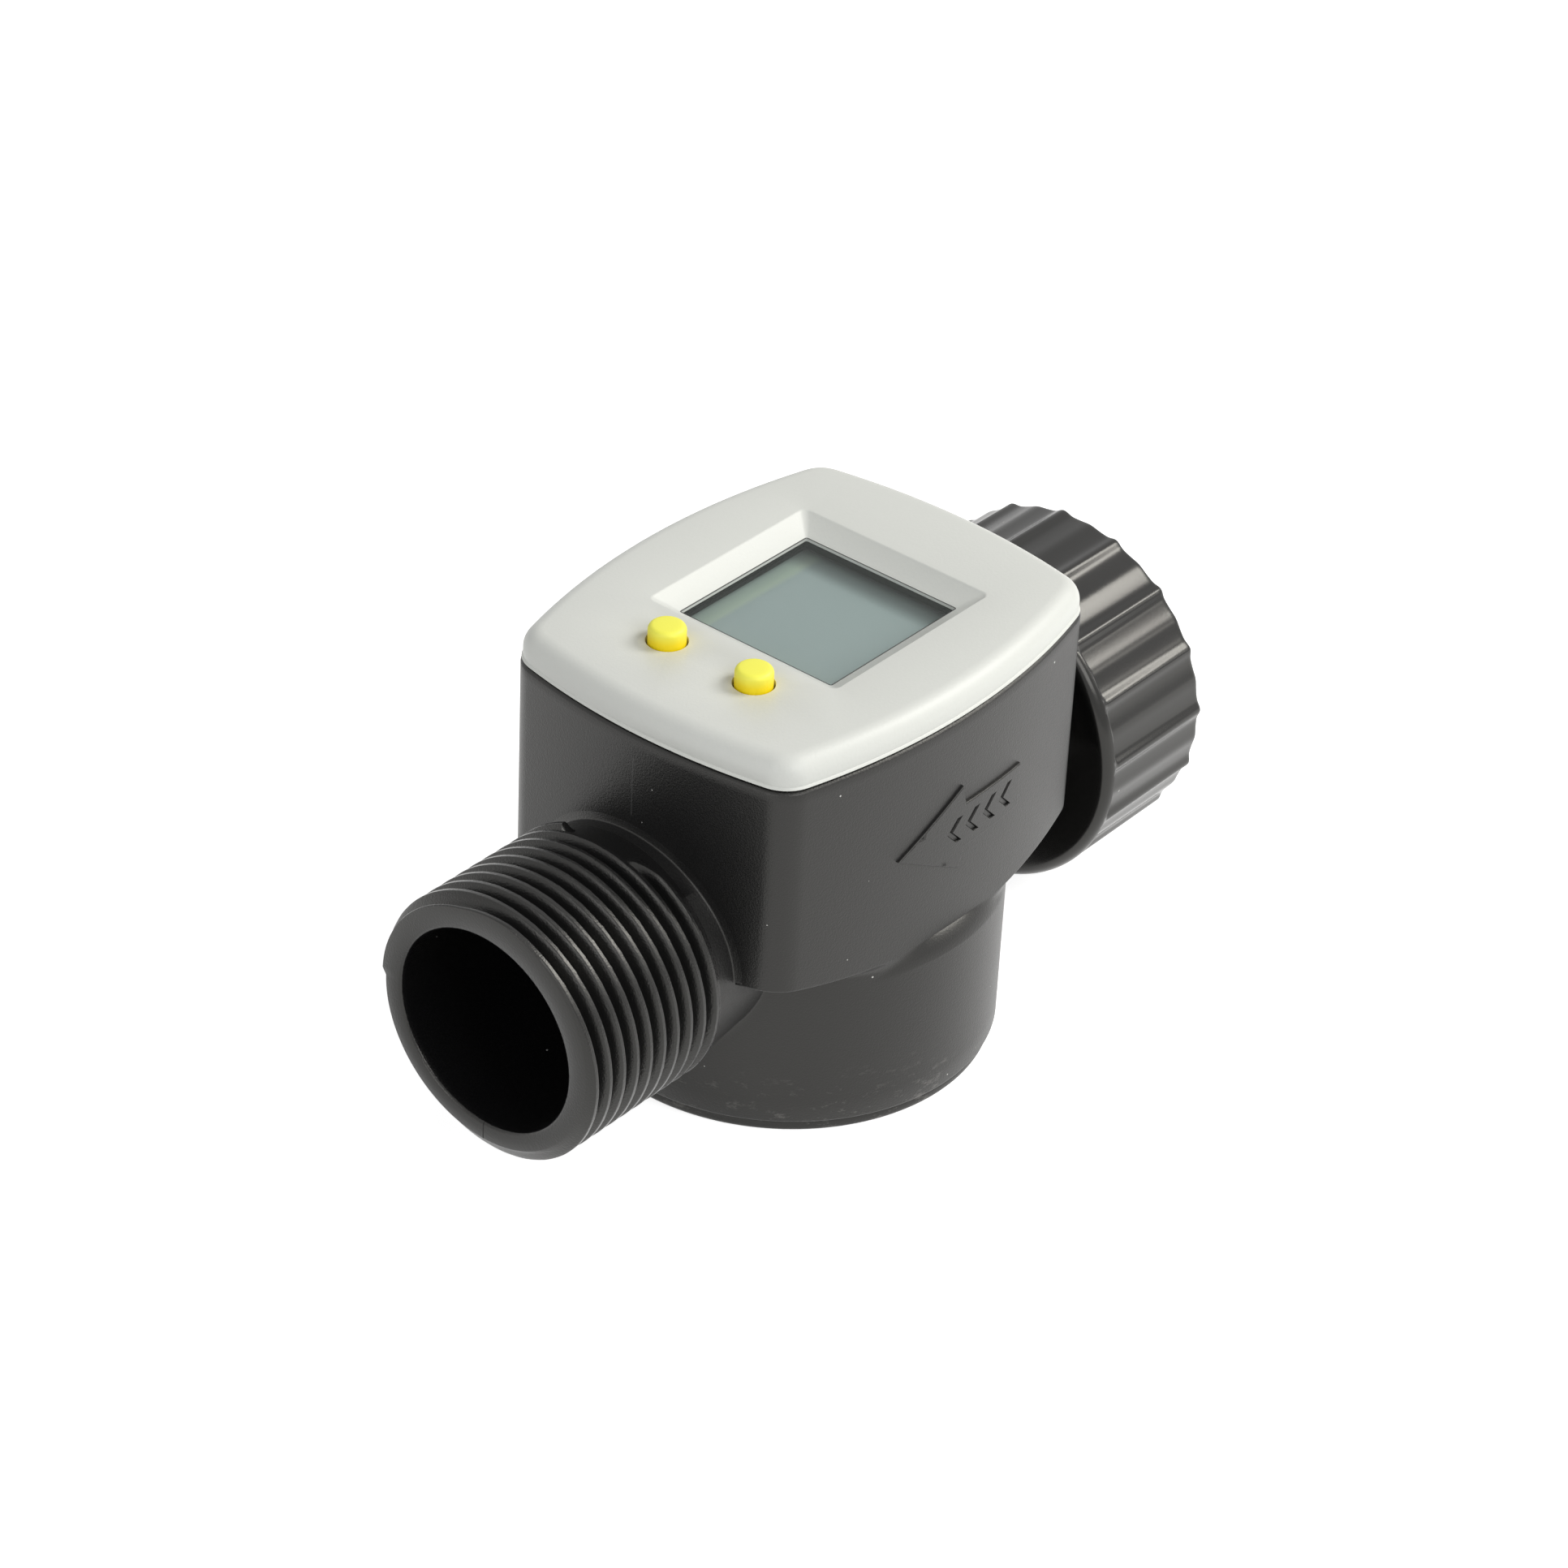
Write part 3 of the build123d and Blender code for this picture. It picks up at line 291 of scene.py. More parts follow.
# Inner pieces: a finish, its colour and other values, and the CAD nodes that carry it
INNER = (
    ("wheel plastic", (0.66, 0.66, 0.64), {"roughness": 0.45, "spread": 0.05},
     ("turbine_wheel", "bearing_lower", "bearing_upper")),
    ("inner plastic", (0.045, 0.045, 0.047), {"roughness": 0.48},
     ("jet_ring", "inlet_strainer", "push_switch_left", "push_switch_right",
      "switch_plunger_left", "switch_plunger_right")),
    ("seal rubber", (0.022, 0.022, 0.022), {"roughness": 0.62, "grain": 4200.0, "grain_depth": 0.00001},
     ("cap_seal", "cover_gasket")),
    ("solder mask", (0.03, 0.16, 0.06), {"roughness": 0.35, "grain": 900.0, "grain_depth": 0.000006},
     ("circuit_board",)),
    ("brushed steel", (0.55, 0.55, 0.57), {"roughness": 0.32, **METAL},
     ("wheel_pin", "coin_cell", "clock_crystal", *(f"board_screw_{i}" for i in (1, 2, 3, 4)))),
    ("plated contact", (0.72, 0.58, 0.30), {"roughness": 0.3, **METAL},
     ("cell_clip", "cell_spring")),
    ("sintered magnet", (0.10, 0.10, 0.105), {"roughness": 0.45, "grain": 5200.0, "grain_depth": 0.00001},
     ("wheel_magnet",)),
    ("reed capsule", (0.42, 0.52, 0.47), {"roughness": 0.12, "grain": 600.0, "grain_depth": 0.000002},
     ("reed_switch",)),
    ("resin", (0.02, 0.02, 0.021), {"roughness": 0.15, "grain": 500.0, "grain_depth": 0.00001},
     ("controller",)),
)


# Shader maths


class Value:
    """A shader socket that takes part in arithmetic: each operator adds a Math node."""

    def __init__(self, graph, socket):
        self.graph = graph
        self.socket = socket

    def __add__(self, other):
        return self.graph.math("ADD", self, other)

    __radd__ = __add__

    def __sub__(self, other):
        return self.graph.math("SUBTRACT", self, other)

    def __rsub__(self, other):
        return self.graph.math("SUBTRACT", other, self)

    def __mul__(self, other):
        return self.graph.math("MULTIPLY", self, other)

    __rmul__ = __mul__

    def __gt__(self, other):
        return self.graph.math("GREATER_THAN", self, other)

    def __lt__(self, other):
        return self.graph.math("LESS_THAN", self, other)

    def __abs__(self):
        return self.graph.math("ABSOLUTE", self)

    def at_least(self, other):
        """The larger of this and another value."""
        return self.graph.math("MAXIMUM", self, other)

    def between(self, low, high):
        """0 at low, 1 at high, held beyond both."""
        return self.graph.math("DIVIDE", self - low, high - low, clamp=True)


class Graph:
    """A node tree under construction."""

    def __init__(self, tree):
        self.tree = tree
        self.tree.nodes.clear()

    def give(self, socket, value):
        """Link a socket, or set its value; three numbers on a colour socket get a full alpha."""
        if isinstance(value, Value):
            self.tree.links.new(value.socket, socket)
        elif hasattr(value, "__len__") and len(value) == 3 and socket.type == "RGBA":
            socket.default_value = (*value, 1.0)
        else:
            socket.default_value = value

    def node(self, kind, settings=None, sockets=None, output=0):
        """Add a node: its settings first, then the values or links of its sockets."""
        node = self.tree.nodes.new(kind)
        for name, value in (settings or {}).items():
            setattr(node, name, value)
        for name, value in (sockets or {}).items():
            self.give(node.inputs[name], value)
        return Value(self, node.outputs[output]) if node.outputs else None

    def math(self, operation, *operands, clamp=False):
        """Add a Math node over one or two operands."""
        return self.node(
            "ShaderNodeMath", {"operation": operation, "use_clamp": clamp}, dict(enumerate(operands))
        )

    def seen(self):
        """1 for the rays that look at the background: camera, glossy and transmission."""
        rays = [f"Is {ray} Ray" for ray in ("Camera", "Glossy", "Transmission")]
        camera, glossy, through = (self.node("ShaderNodeLightPath", output=ray) for ray in rays)
        return camera.at_least(glossy).at_least(through)


class Finish(Graph):
    """A node material under construction, with one Principled surface."""

    def __init__(self, name, **constants):
        self.material = bpy.data.materials.new(name)
        self.material.use_nodes = True
        super().__init__(self.material.node_tree)
        shader = self.node("ShaderNodeBsdfPrincipled")
        self.surface = shader.socket.node
        self.node("ShaderNodeOutputMaterial", None, {"Surface": shader})
        self.place = self.node("ShaderNodeTexCoord", output="Object")
        self.set(**constants)

    def set(self, **sockets):
        """Give the surface's own sockets values or links."""
        for name, value in sockets.items():
            title = name.replace("_", " ").title().replace("Ior", "IOR")
            self.give(self.surface.inputs[title], value)
        return self

    def noise(self, scale, detail, roughness, vector=None):
        """Smooth noise from 0 to 1; scale is in waves per metre."""
        place = vector or self.place
        sockets = {"Vector": place, "Scale": scale, "Detail": detail, "Roughness": roughness}
        return self.node("ShaderNodeTexNoise", None, sockets)

    def specks(self, per_metre, radius, share):
        """1 inside small round specks that sit in a share of the cells of a Voronoi pattern."""
        place = self.node("ShaderNodeVectorMath", {"operation": "ADD"}, {0: self.place, 1: LINT_SHIFT})
        sockets = {"Vector": place, "Scale": per_metre}
        distance = self.node("ShaderNodeTexVoronoi", None, sockets, "Distance")
        colour = self.node("ShaderNodeTexVoronoi", None, sockets, "Color")
        draw = self.node("ShaderNodeSeparateColor", None, {"Color": colour}, 0)
        size = self.node("ShaderNodeSeparateColor", None, {"Color": colour}, 1)
        return (draw < share) * (distance < radius * (LEAST_SPECK + size))

    def mix(self, factor, first, second):
        """Mix two colours."""
        sockets = {MIX_FACTOR: factor, MIX_FIRST: first, MIX_SECOND: second}
        return self.node("ShaderNodeMix", {"data_type": "RGBA"}, sockets, MIX_RESULT)

    def along(self, axis):
        """Coordinate of the surface point along X, Y or Z, in metres."""
        return self.node("ShaderNodeSeparateXYZ", None, {"Vector": self.place}, "XYZ".index(axis))

    def bump(self, height, distance):
        """Let a height in 0 to 1 lift the surface by a distance in metres."""
        lifted = {"Distance": distance, "Height": height}
        return self.set(normal=self.node("ShaderNodeBump", None, lifted))


def moulded(
    name, colour, roughness, grain=3200.0, grain_depth=0.000012, spread=0.18, dust=0.0, **constants
):
    """Moulded plastic: fine grain, slow change of tone and gloss, and loose dust if asked."""
    finish = Finish(name, **constants)
    slow = finish.noise(90.0, detail=4.0, roughness=0.6)
    fine = finish.noise(grain, detail=2.0, roughness=0.6)
    dark = [c * (1.0 - spread) for c in colour]
    light = [min(c * (1.0 + spread), 1.0) for c in colour]
    tone = finish.mix(slow * 0.6 + fine * 0.4, dark, light)
    gloss = roughness - 0.05 + slow * 0.06 + fine * 0.05
    if dust:
        lint = finish.specks(620.0, radius=0.075, share=dust)
        tone = finish.mix(lint * 0.55, tone, LINT_COLOUR)
        gloss = gloss + lint * 0.2
    finish.set(base_color=tone, roughness=gloss)
    return finish.bump(fine, grain_depth)


# Meshes


def placed(name, data):
    """A new object in the scene."""
    made = bpy.data.objects.new(name, data)
    bpy.context.scene.collection.objects.link(made)
    return made


def write_mesh(
    name, points, faces, finish, replaces=(), sharp=40.0, body="meter", slot="black_housing"
):
    """Make a mesh object from points in millimetres and let it ride on a CAD body."""
    mesh = bpy.data.meshes.new(name)
    metres = [(x * MM, y * MM, z * MM) for x, y, z in points]
    mesh.from_pydata(metres, [], faces)
    mesh.validate()
    mesh.shade_smooth()
    mesh.set_sharp_from_angle(angle=math.radians(sharp))
    mesh.materials.append(finish.material)
    piece = placed(name, mesh)
    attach(piece, body)
    if replaces:
        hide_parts(*replaces)


def sheet(rows, columns, start=0):
    """Quads of a grid of points stored row by row; the last column joins the first."""
    return [
        (
            start + i * columns + j,
            start + i * columns + (j + 1) % columns,
            start + (i + 1) * columns + (j + 1) % columns,
            start + (i + 1) * columns + j,
        )
        for i in range(rows - 1)
        for j in range(columns)
    ]


def skinned(rows, way=1):
    """Points and quads of rings of equal length, in turn; a way of -1 turns the quads over."""
    return np.array(rows).reshape(-1, 3), [face[::way] for face in sheet(len(rows), len(rows[0]))]


def lathe(profile, turns, centre=(0.0, 0.0)):
    """Points and faces of a profile of (radius, height) turned about +Z through a centre."""
    angles = np.linspace(0.0, 2 * math.pi, turns, endpoint=False)
    points = [
        (centre[0] + radius * math.cos(a), centre[1] + radius * math.sin(a), height)
        for radius, height in profile
        for a in angles
    ]
    return points, sheet(len(profile), turns)


def arc(centre, radius, first, last, steps):
    """Points on an arc of a profile; angles in degrees from the radius axis."""
    return [
        (centre[0] + radius * math.cos(math.radians(a)), centre[1] + radius * math.sin(math.radians(a)))
        for a in np.linspace(first, last, steps)
    ]


def outline():
    """Points of the case outline, anticlockwise from +X, and the outward normal at each."""
    end_centre = np.array((CASE_HALF_X - END_BOW_R, 0.0))
    side_centre = np.array((0.0, CASE_HALF_Y - SIDE_BOW_R))
    between = side_centre - end_centre
    gap = np.linalg.norm(between)
    to_end = END_BOW_R - CASE_CORNER_R
    to_side = SIDE_BOW_R - CASE_CORNER_R
    along = (gap**2 + to_end**2 - to_side**2) / (2 * gap)
    across = math.sqrt(to_end**2 - along**2)
    unit = between / gap
    aside = across * np.array((-unit[1], unit[0]))
    corner = max((end_centre + along * unit + aside, end_centre + along * unit - aside), key=min)
    end_turn = math.atan2(*(corner - end_centre)[::-1])
    side_turn = math.atan2(*(corner - side_centre)[::-1])
    quadrant = []
    for centre, radius, first, last, steps in (
        (end_centre, END_BOW_R, 0.0, end_turn, END_STEPS),
        (corner, CASE_CORNER_R, end_turn, side_turn, CORNER_STEPS),
        (side_centre, SIDE_BOW_R, side_turn, math.pi / 2, SIDE_STEPS),
    ):
        for a in np.linspace(first, last, steps, endpoint=False):
            normal = (math.cos(a), math.sin(a))
            quadrant.append((centre[0] + radius * normal[0], centre[1] + radius * normal[1], *normal))
    top = (0.0, CASE_HALF_Y, 0.0, 1.0)
    second = [(-x, y, -nx, ny) for x, y, nx, ny in reversed(quadrant[1:])]
    half = quadrant + [top] + second
    full = np.array(half + [(-x, -y, -nx, -ny) for x, y, nx, ny in half])
    full[:, 0] += CASE_SHIFT_X
    return full[:, :2], full[:, 2:]


def soft_min(a, b, blend):
    """Smaller of two values, rounded off where they come within a blend of each other."""
    blend = np.maximum(blend, NEAR_NOTHING)
    h = np.maximum(blend - np.abs(a - b), 0.0) / blend
    return np.minimum(a, b) - h * h * blend / 4


def case_limit(z):
    """Radius that the case may reach at a height: base, fillet, then the shallow cone of the underside."""
    run = math.hypot(1.0, CONE_SLOPE)
    fillet_r = BASE_R + UNDERSIDE_FILLET
    fillet_z = CONE_Z + CONE_SLOPE * (fillet_r - CONE_R) - UNDERSIDE_FILLET * run
    leave_z = fillet_z + UNDERSIDE_FILLET / run
    curve = fillet_r - np.sqrt(np.maximum(UNDERSIDE_FILLET**2 - (z - fillet_z) ** 2, 0.0))
    cone = CONE_R + (z - CONE_Z) / CONE_SLOPE
    return np.where(z < fillet_z, BASE_R, np.where(z < leave_z, curve, cone))


def base_limit(z):
    """Radius of the round base at a height, its top edge rolled over."""
    start = BASE_TOP - BASE_ROLL
    roll = BASE_R - BASE_ROLL + np.sqrt(np.maximum(BASE_ROLL**2 - (z - start) ** 2, 0.0))
    beyond = BASE_R - BASE_ROLL - BASE_FALL * (z - BASE_TOP)
    return np.where(z < start, BASE_R, np.where(z < BASE_TOP, roll, beyond))


def skin_radius(case_r, z):
    """Radius of the housing about +Z at a height, where the case outline lies at case_r."""
    case = soft_min(case_r, case_limit(z), CONE_BLEND)
    blend = BASE_BLEND * np.clip((BASE_BLEND_R - case_r) / BASE_BLEND_RUN, 0.0, 1.0)
    joined = -soft_min(-case, -base_limit(z), blend)
    return np.minimum(joined, np.maximum(case, BASE_R))


def skin_x(y, z, side, ring, ring_r):
    """X of the housing's skin at a point of its -X or +X side, found by bisection."""
    low, high = 0.0, SKIN_REACH
    for _ in range(HALVINGS):
        x = (low + high) / 2
        angle = math.atan2(y, side * x) % (2 * math.pi)
        case_r = np.interp(angle, ring, ring_r)
        if math.hypot(x, y) > skin_radius(case_r, z):
            high = x
        else:
            low = x
    return side * low


def ring_by_angle(points):
    """Angles from 0 to a full turn, and the outline's radius about the origin at each."""
    angle = np.arctan2(points[:, 1], points[:, 0]) % (2 * math.pi)
    order = np.argsort(angle)
    radius = np.hypot(points[:, 0], points[:, 1])[order]
    angle = angle[order]
    return (
        np.concatenate(([angle[-1] - 2 * math.pi], angle, [angle[0] + 2 * math.pi])),
        np.concatenate(([radius[-1]], radius, [radius[0]])),
    )


def directions(angles):
    """Y and Z parts of directions about the pipe, at angles in degrees from +Y."""
    return [(math.cos(math.radians(a)), math.sin(math.radians(a))) for a in angles]


def pipe_ring(xs, radii, around):
    """Points about the pipe; x and radius are one number, or one for each direction."""
    xs, radii = (np.broadcast_to(values, len(around)) for values in (xs, radii))
    return [(x, r * side, PIPE_Z + r * up) for x, r, (side, up) in zip(xs, radii, around)]


def plain_rings(profile, around):
    """A ring about the pipe for each (radius, x) of a profile."""
    return [pipe_ring(x, radius, around) for radius, x in profile]


def wall_at(radius, around, side):
    """X of the housing's skin where a pipe of a radius meets its -X or +X side."""
    points, _ = outline()
    ring, ring_r = ring_by_angle(points)
    return np.array([skin_x(radius * y, PIPE_Z + radius * up, side, ring, ring_r) for y, up in around])


def chamber_at(radius, around, side):
    """X where a bore of a radius opens into the wheel's chamber."""
    return [side * math.sqrt(CHAMBER_R**2 - (radius * y) ** 2) for y, _ in around]


def held(value):
    """A number held between 0 and 1."""
    return min(max(value, 0.0), 1.0)


def eased(share):
    """A share from 0 to 1 with a soft start and a soft end."""
    return share * share * (3 - 2 * share)


def thread_lift(turn, x):
    """Share of the full thread height at a turn in degrees from the top and a place along the spout."""
    lift = 0.0
    start, end = MOUTH_TURNS
    for first, last, run_in in RIDGES:
        low = math.ceil((first - turn) / 360.0)
        high = math.floor((last - turn) / 360.0)
        for k in range(low, high + 1):
            total = turn + 360.0 * k
            off = abs(x - THREAD_X - PITCH * total / 360.0)
            flank = held((FLANK_FOOT - off) / (FLANK_FOOT - CREST_FLAT))
            rounded = eased(flank) * CREST_ROUND + flank * (1 - CREST_ROUND)
            fade = held(min((total - first) / run_in, (last - total) / RUN_OUT))
            grown = MOUTH_SHARE + (1 - MOUTH_SHARE) * held((total - start) / (end - start))
            lift = max(lift, rounded * fade * grown)
    return lift


def housing_shell(finish):
    """Case, cone underside and round base in one skin, open where the pipe passes."""
    points, normals = outline()
    case_r = np.hypot(points[:, 0], points[:, 1])
    away = points / case_r[:, None]
    rows = []

    def level(flat, z):
        rows.append(np.column_stack((flat, np.full(len(flat), z))))

    for inset, z in (
        (CASE_LIP, CASE_LIP_FOOT), (CASE_LIP, CASE_TOP - 0.05), (CASE_LIP - 0.05, CASE_TOP),
        (0.34, CASE_TOP), (0.26, CASE_TOP - 0.03), (0.05, CASE_TOP - 0.22), (0.0, CASE_TOP - 0.32),
    ):
        level(points - normals * inset, z)
    walls = np.linspace(CASE_TOP - 1.2, 21.6, 10)
    join = np.arange(21.4, 16.9, -0.06)
    base = np.linspace(16.6, SEAM_Z + 0.36, 8)
    for z in (*walls, *join, *base):
        level(away * skin_radius(case_r, z)[:, None], z)
    for inset, z in ((0.05, SEAM_Z + 0.22), (0.26, SEAM_Z + 0.03), (0.34, SEAM_Z), (2.4, SEAM_Z)):
        level(away * (BASE_R - inset), z)
    verts = np.array(rows).reshape(-1, 3)
    faces = []
    for face in sheet(len(rows), len(points)):
        x, y, z = verts[list(face)].mean(0)
        if math.hypot(y, z - PIPE_Z) > (OUTLET_CUT_R if x < 0 else INLET_CUT_R):
            faces.append(face[::-1])
    write_mesh("housing_shell", verts, faces, finish, ("housing",))


def spout(finish):
    """Outlet spout: thread ridges, mouth ring, bore, and the faint ring where it leaves the wall."""
    angles = np.linspace(-180.0, 180.0, SPOUT_COLUMNS, endpoint=False)
    around = directions(angles + 90.0)
    under_root, under_neck = (wall_at(radius, around, -1) for radius in (ROOT_R, NECK_R))

    def thread_r(x):
        return np.array([ROOT_R + (CREST_R - ROOT_R) * thread_lift(a, x) for a in angles])

    rows = [pipe_ring(chamber_at(BORE_R, around, -1), BORE_R, around)]
    mouth = [(BORE_R, MOUTH_X + 13.5), (BORE_R, MOUTH_X + 1.0), (BORE_R, MOUTH_X + 0.3)]
    mouth += [(BORE_R + 0.09, MOUTH_X + 0.09), (BORE_R + 0.3, MOUTH_X)]
    rows += plain_rings(mouth, around)
    for inset, x in ((0.12, MOUTH_X), (0.03, MOUTH_X + 0.04)):
        rows.append(pipe_ring(x, thread_r(MOUTH_X) - inset, around))
    for x in np.arange(MOUTH_X + 0.12, NECK_X, SPOUT_STEP):
        rows.append(pipe_ring(x, thread_r(x), around))
    for radius, wall, proud in (
        (ROOT_R, under_root, 0.2), (ROOT_R + 0.02, under_root, 0.08), (ROOT_R + 0.1, under_root, 0.014),
        (NECK_R - 0.04, under_neck, 0.014), (NECK_R, under_neck, 0.0), (NECK_R + 0.02, under_neck, -0.5),
    ):
        rows.append(pipe_ring(wall - proud, radius, around))
    write_mesh("outlet_spout", *skinned(rows), finish, sharp=48.0)


def tail(finish):
    """Inlet tail with the collar that the nut turns on."""
    around = directions(np.linspace(0.0, 360.0, TAIL_COLUMNS, endpoint=False))
    wall = wall_at(TAIL_R, around, 1)
    rows = [pipe_ring(wall, TAIL_R + TAIL_FILLET, around), pipe_ring(wall + TAIL_FILLET, TAIL_R, around)]
    rows += plain_rings((
        (TAIL_R, COLLAR_X - 0.3), (TAIL_R + 0.1, COLLAR_X - 0.05), (COLLAR_R - 0.1, COLLAR_X),
        (COLLAR_R, COLLAR_X + 0.1), (COLLAR_R, TAIL_END - 0.6), (COLLAR_R - 0.5, TAIL_END - 0.1),
        (COLLAR_R - 0.6, TAIL_END), (TAIL_SEAT_R + 0.05, TAIL_END), (TAIL_SEAT_R, TAIL_END - 0.05),
        (TAIL_SEAT_R, TAIL_END - 1.0), (TAIL_BORE_R, TAIL_END - 1.0), (TAIL_BORE_R, TAIL_START),
    ), around)
    rows.append(pipe_ring(chamber_at(TAIL_BORE_R, around, 1), TAIL_BORE_R, around))
    write_mesh("inlet_tail", *skinned(rows, -1), finish)


def wall_y(x):
    """Y of the case wall on the arrow's side."""
    return -(CASE_HALF_Y - SIDE_BOW_R + math.sqrt(SIDE_BOW_R**2 - (x - CASE_SHIFT_X) ** 2))


def inside(point, polygon):
    """Whether a flat point lies in a polygon."""
    x, y = point
    hit = False
    for (x0, y0), (x1, y1) in zip(polygon, polygon[1:] + polygon[:1]):
        if (y0 > y) != (y1 > y) and x < (x1 - x0) * (y - y0) / (y1 - y0) + x0:
            hit = not hit
    return hit


def divided(polygon, step, moved=None):
    """A closed polygon with its edges cut into steps, or the same cuts on a moved copy of it."""
    moved = moved or polygon
    points = []
    for (x0, y0), (x1, y1), (u0, v0), (u1, v1) in zip(
        polygon, polygon[1:] + polygon[:1], moved, moved[1:] + moved[:1]
    ):
        count = max(1, round(math.hypot(x1 - x0, y1 - y0) / step))
        points.extend((u0 + (u1 - u0) * i / count, v0 + (v1 - v0) * i / count) for i in range(count))
    return points


def shifted(polygon, distance):
    """A closed anticlockwise polygon with every edge moved outward."""
    result = []
    count = len(polygon)
    for i in range(count):
        before, here, after = (np.array(polygon[(i + k) % count], float) for k in (-1, 0, 1))
        first = (here - before) / np.linalg.norm(here - before)
        second = (after - here) / np.linalg.norm(after - here)
        n1 = np.array((first[1], -first[0]))
        n2 = np.array((second[1], -second[0]))
        result.append(tuple(here + distance * (n1 + n2) / (1 + n1 @ n2)))
    return result


def closed_edges(count, start):
    """Edges of a closed loop of points."""
    return [(start + i, start + (i + 1) % count) for i in range(count)]


def filled(flat, edges, merge, wanted):
    """Points, their origins, and the anticlockwise triangles between edges whose middle is wanted."""
    found, _, triangles, origins, _, _ = delaunay_2d_cdt([Vector(p) for p in flat], edges, [], 0, merge)
    kept = []
    for triangle in triangles:
        a, b, c = (Vector(found[i]) for i in triangle)
        if wanted((a + b + c) / 3):
            turn = (b - a).x * (c - a).y - (b - a).y * (c - a).x
            kept.append(tuple(triangle) if turn > 0 else tuple(reversed(triangle)))
    return found, origins, kept


def flow_arrow(finish):
    """Raised arrow on the wall with four engraved chevrons."""
    border = [(ARROW_TIP, ARROW_Z)] + [(x, ARROW_Z - half) for x, half in ARROW_BORDER]
    border += [(x, ARROW_Z + half) for x, half in reversed(ARROW_BORDER)]
    chevrons = [[(start + x, ARROW_Z + up) for x, up in CHEVRON] for start in CHEVRONS_X]
    floors = [shifted(chevron, -CHEVRON_WALL / 2) for chevron in chevrons]
    loops = [divided(border, ARROW_STEP)]
    loops += [divided(chevron, CHEVRON_STEP) for chevron in chevrons]
    loops += [divided(shifted(chevron, -CHEVRON_WALL), CHEVRON_STEP) for chevron in chevrons]
    flat = []
    edges = []
    for loop in loops:
        edges.extend(closed_edges(len(loop), len(flat)))
        flat.extend(loop)
    field = shifted(border, -FIELD_INSET)
    for x in np.arange(ARROW_TIP, ARROW_TAIL, ARROW_STEP):
        for up in np.arange(ARROW_Z - ARROW_HALF, ARROW_Z + ARROW_HALF, ARROW_STEP):
            spot = (x + FIELD_SHIFT[0], up + FIELD_SHIFT[1])
            if inside(spot, field):
                flat.append(spot)
    found, _, faces = filled(flat, edges, 1e-5, lambda spot: inside(spot, border))
    verts = []
    for x, up in found:
        low = any(inside((x, up), floor) for floor in floors)
        verts.append((x, wall_y(x) - (CHEVRON_FLOOR if low else ARROW_PROUD), up))
    first = len(verts)
    rims = ((0.0, ARROW_PROUD), (0.06, ARROW_PROUD - 0.03), (0.12, ARROW_PROUD - 0.1), (0.16, -0.25))
    for spread, height in rims:
        ring = divided(border, ARROW_STEP, shifted(border, spread))
        verts.extend((x, wall_y(x) - height, up) for x, up in ring)
    faces.extend(face[::-1] for face in sheet(len(rims), len(loops[0]), first))
    write_mesh("flow_arrow", verts, faces, finish, sharp=25.0)


def base_cap(finish):
    """Round cap that closes the base, its foot edge rounded."""
    inner, outer, top = CAP_WALL
    profile = [(0.01, 0.0), (10.0, 0.0), (FOOT_R - 0.2, 0.0)]
    profile += arc((FOOT_R, FOOT_ROUND), FOOT_ROUND, -90, 0, 7)
    profile += [(20.4, 0.88), (20.34, 1.06), (20.1, 1.18), (FOOT_R, SEAM_Z)]
    profile += [(outer, SEAM_Z), (outer, top), (inner, top)]
    points, faces = lathe(profile, 160)
    write_mesh("foot_cap", points, faces, finish, ("base_cap",))


def nut_radius(angle, x):
    """Outer radius of the nut: smooth shoulder, then narrow rounded ribs with a low swell between."""
    step = 360.0 / NUT_RIBS
    off = abs((angle - NUT_RIB_PHASE + step / 2) % step - step / 2) * math.radians(NUT_VALLEY_R)
    half = step / 2 * math.radians(NUT_VALLEY_R)
    back = (x - NUT_RIBS_X) / (NUT_BACK - NUT_RIBS_X)
    rib = (NUT_RIB_RISE - NUT_RIB_LOSS * back) * math.exp(-((off / NUT_RIB_WIDTH) ** 2))
    swell = NUT_SWELL_RISE * math.exp(-(((half - off) / NUT_SWELL_WIDTH) ** 2))
    blend = eased(held((x - NUT_RIBS_X + NUT_RIB_START) / NUT_RIB_RUN))
    return NUT_BAND_R + (NUT_VALLEY_R + rib + swell - NUT_BAND_R) * blend


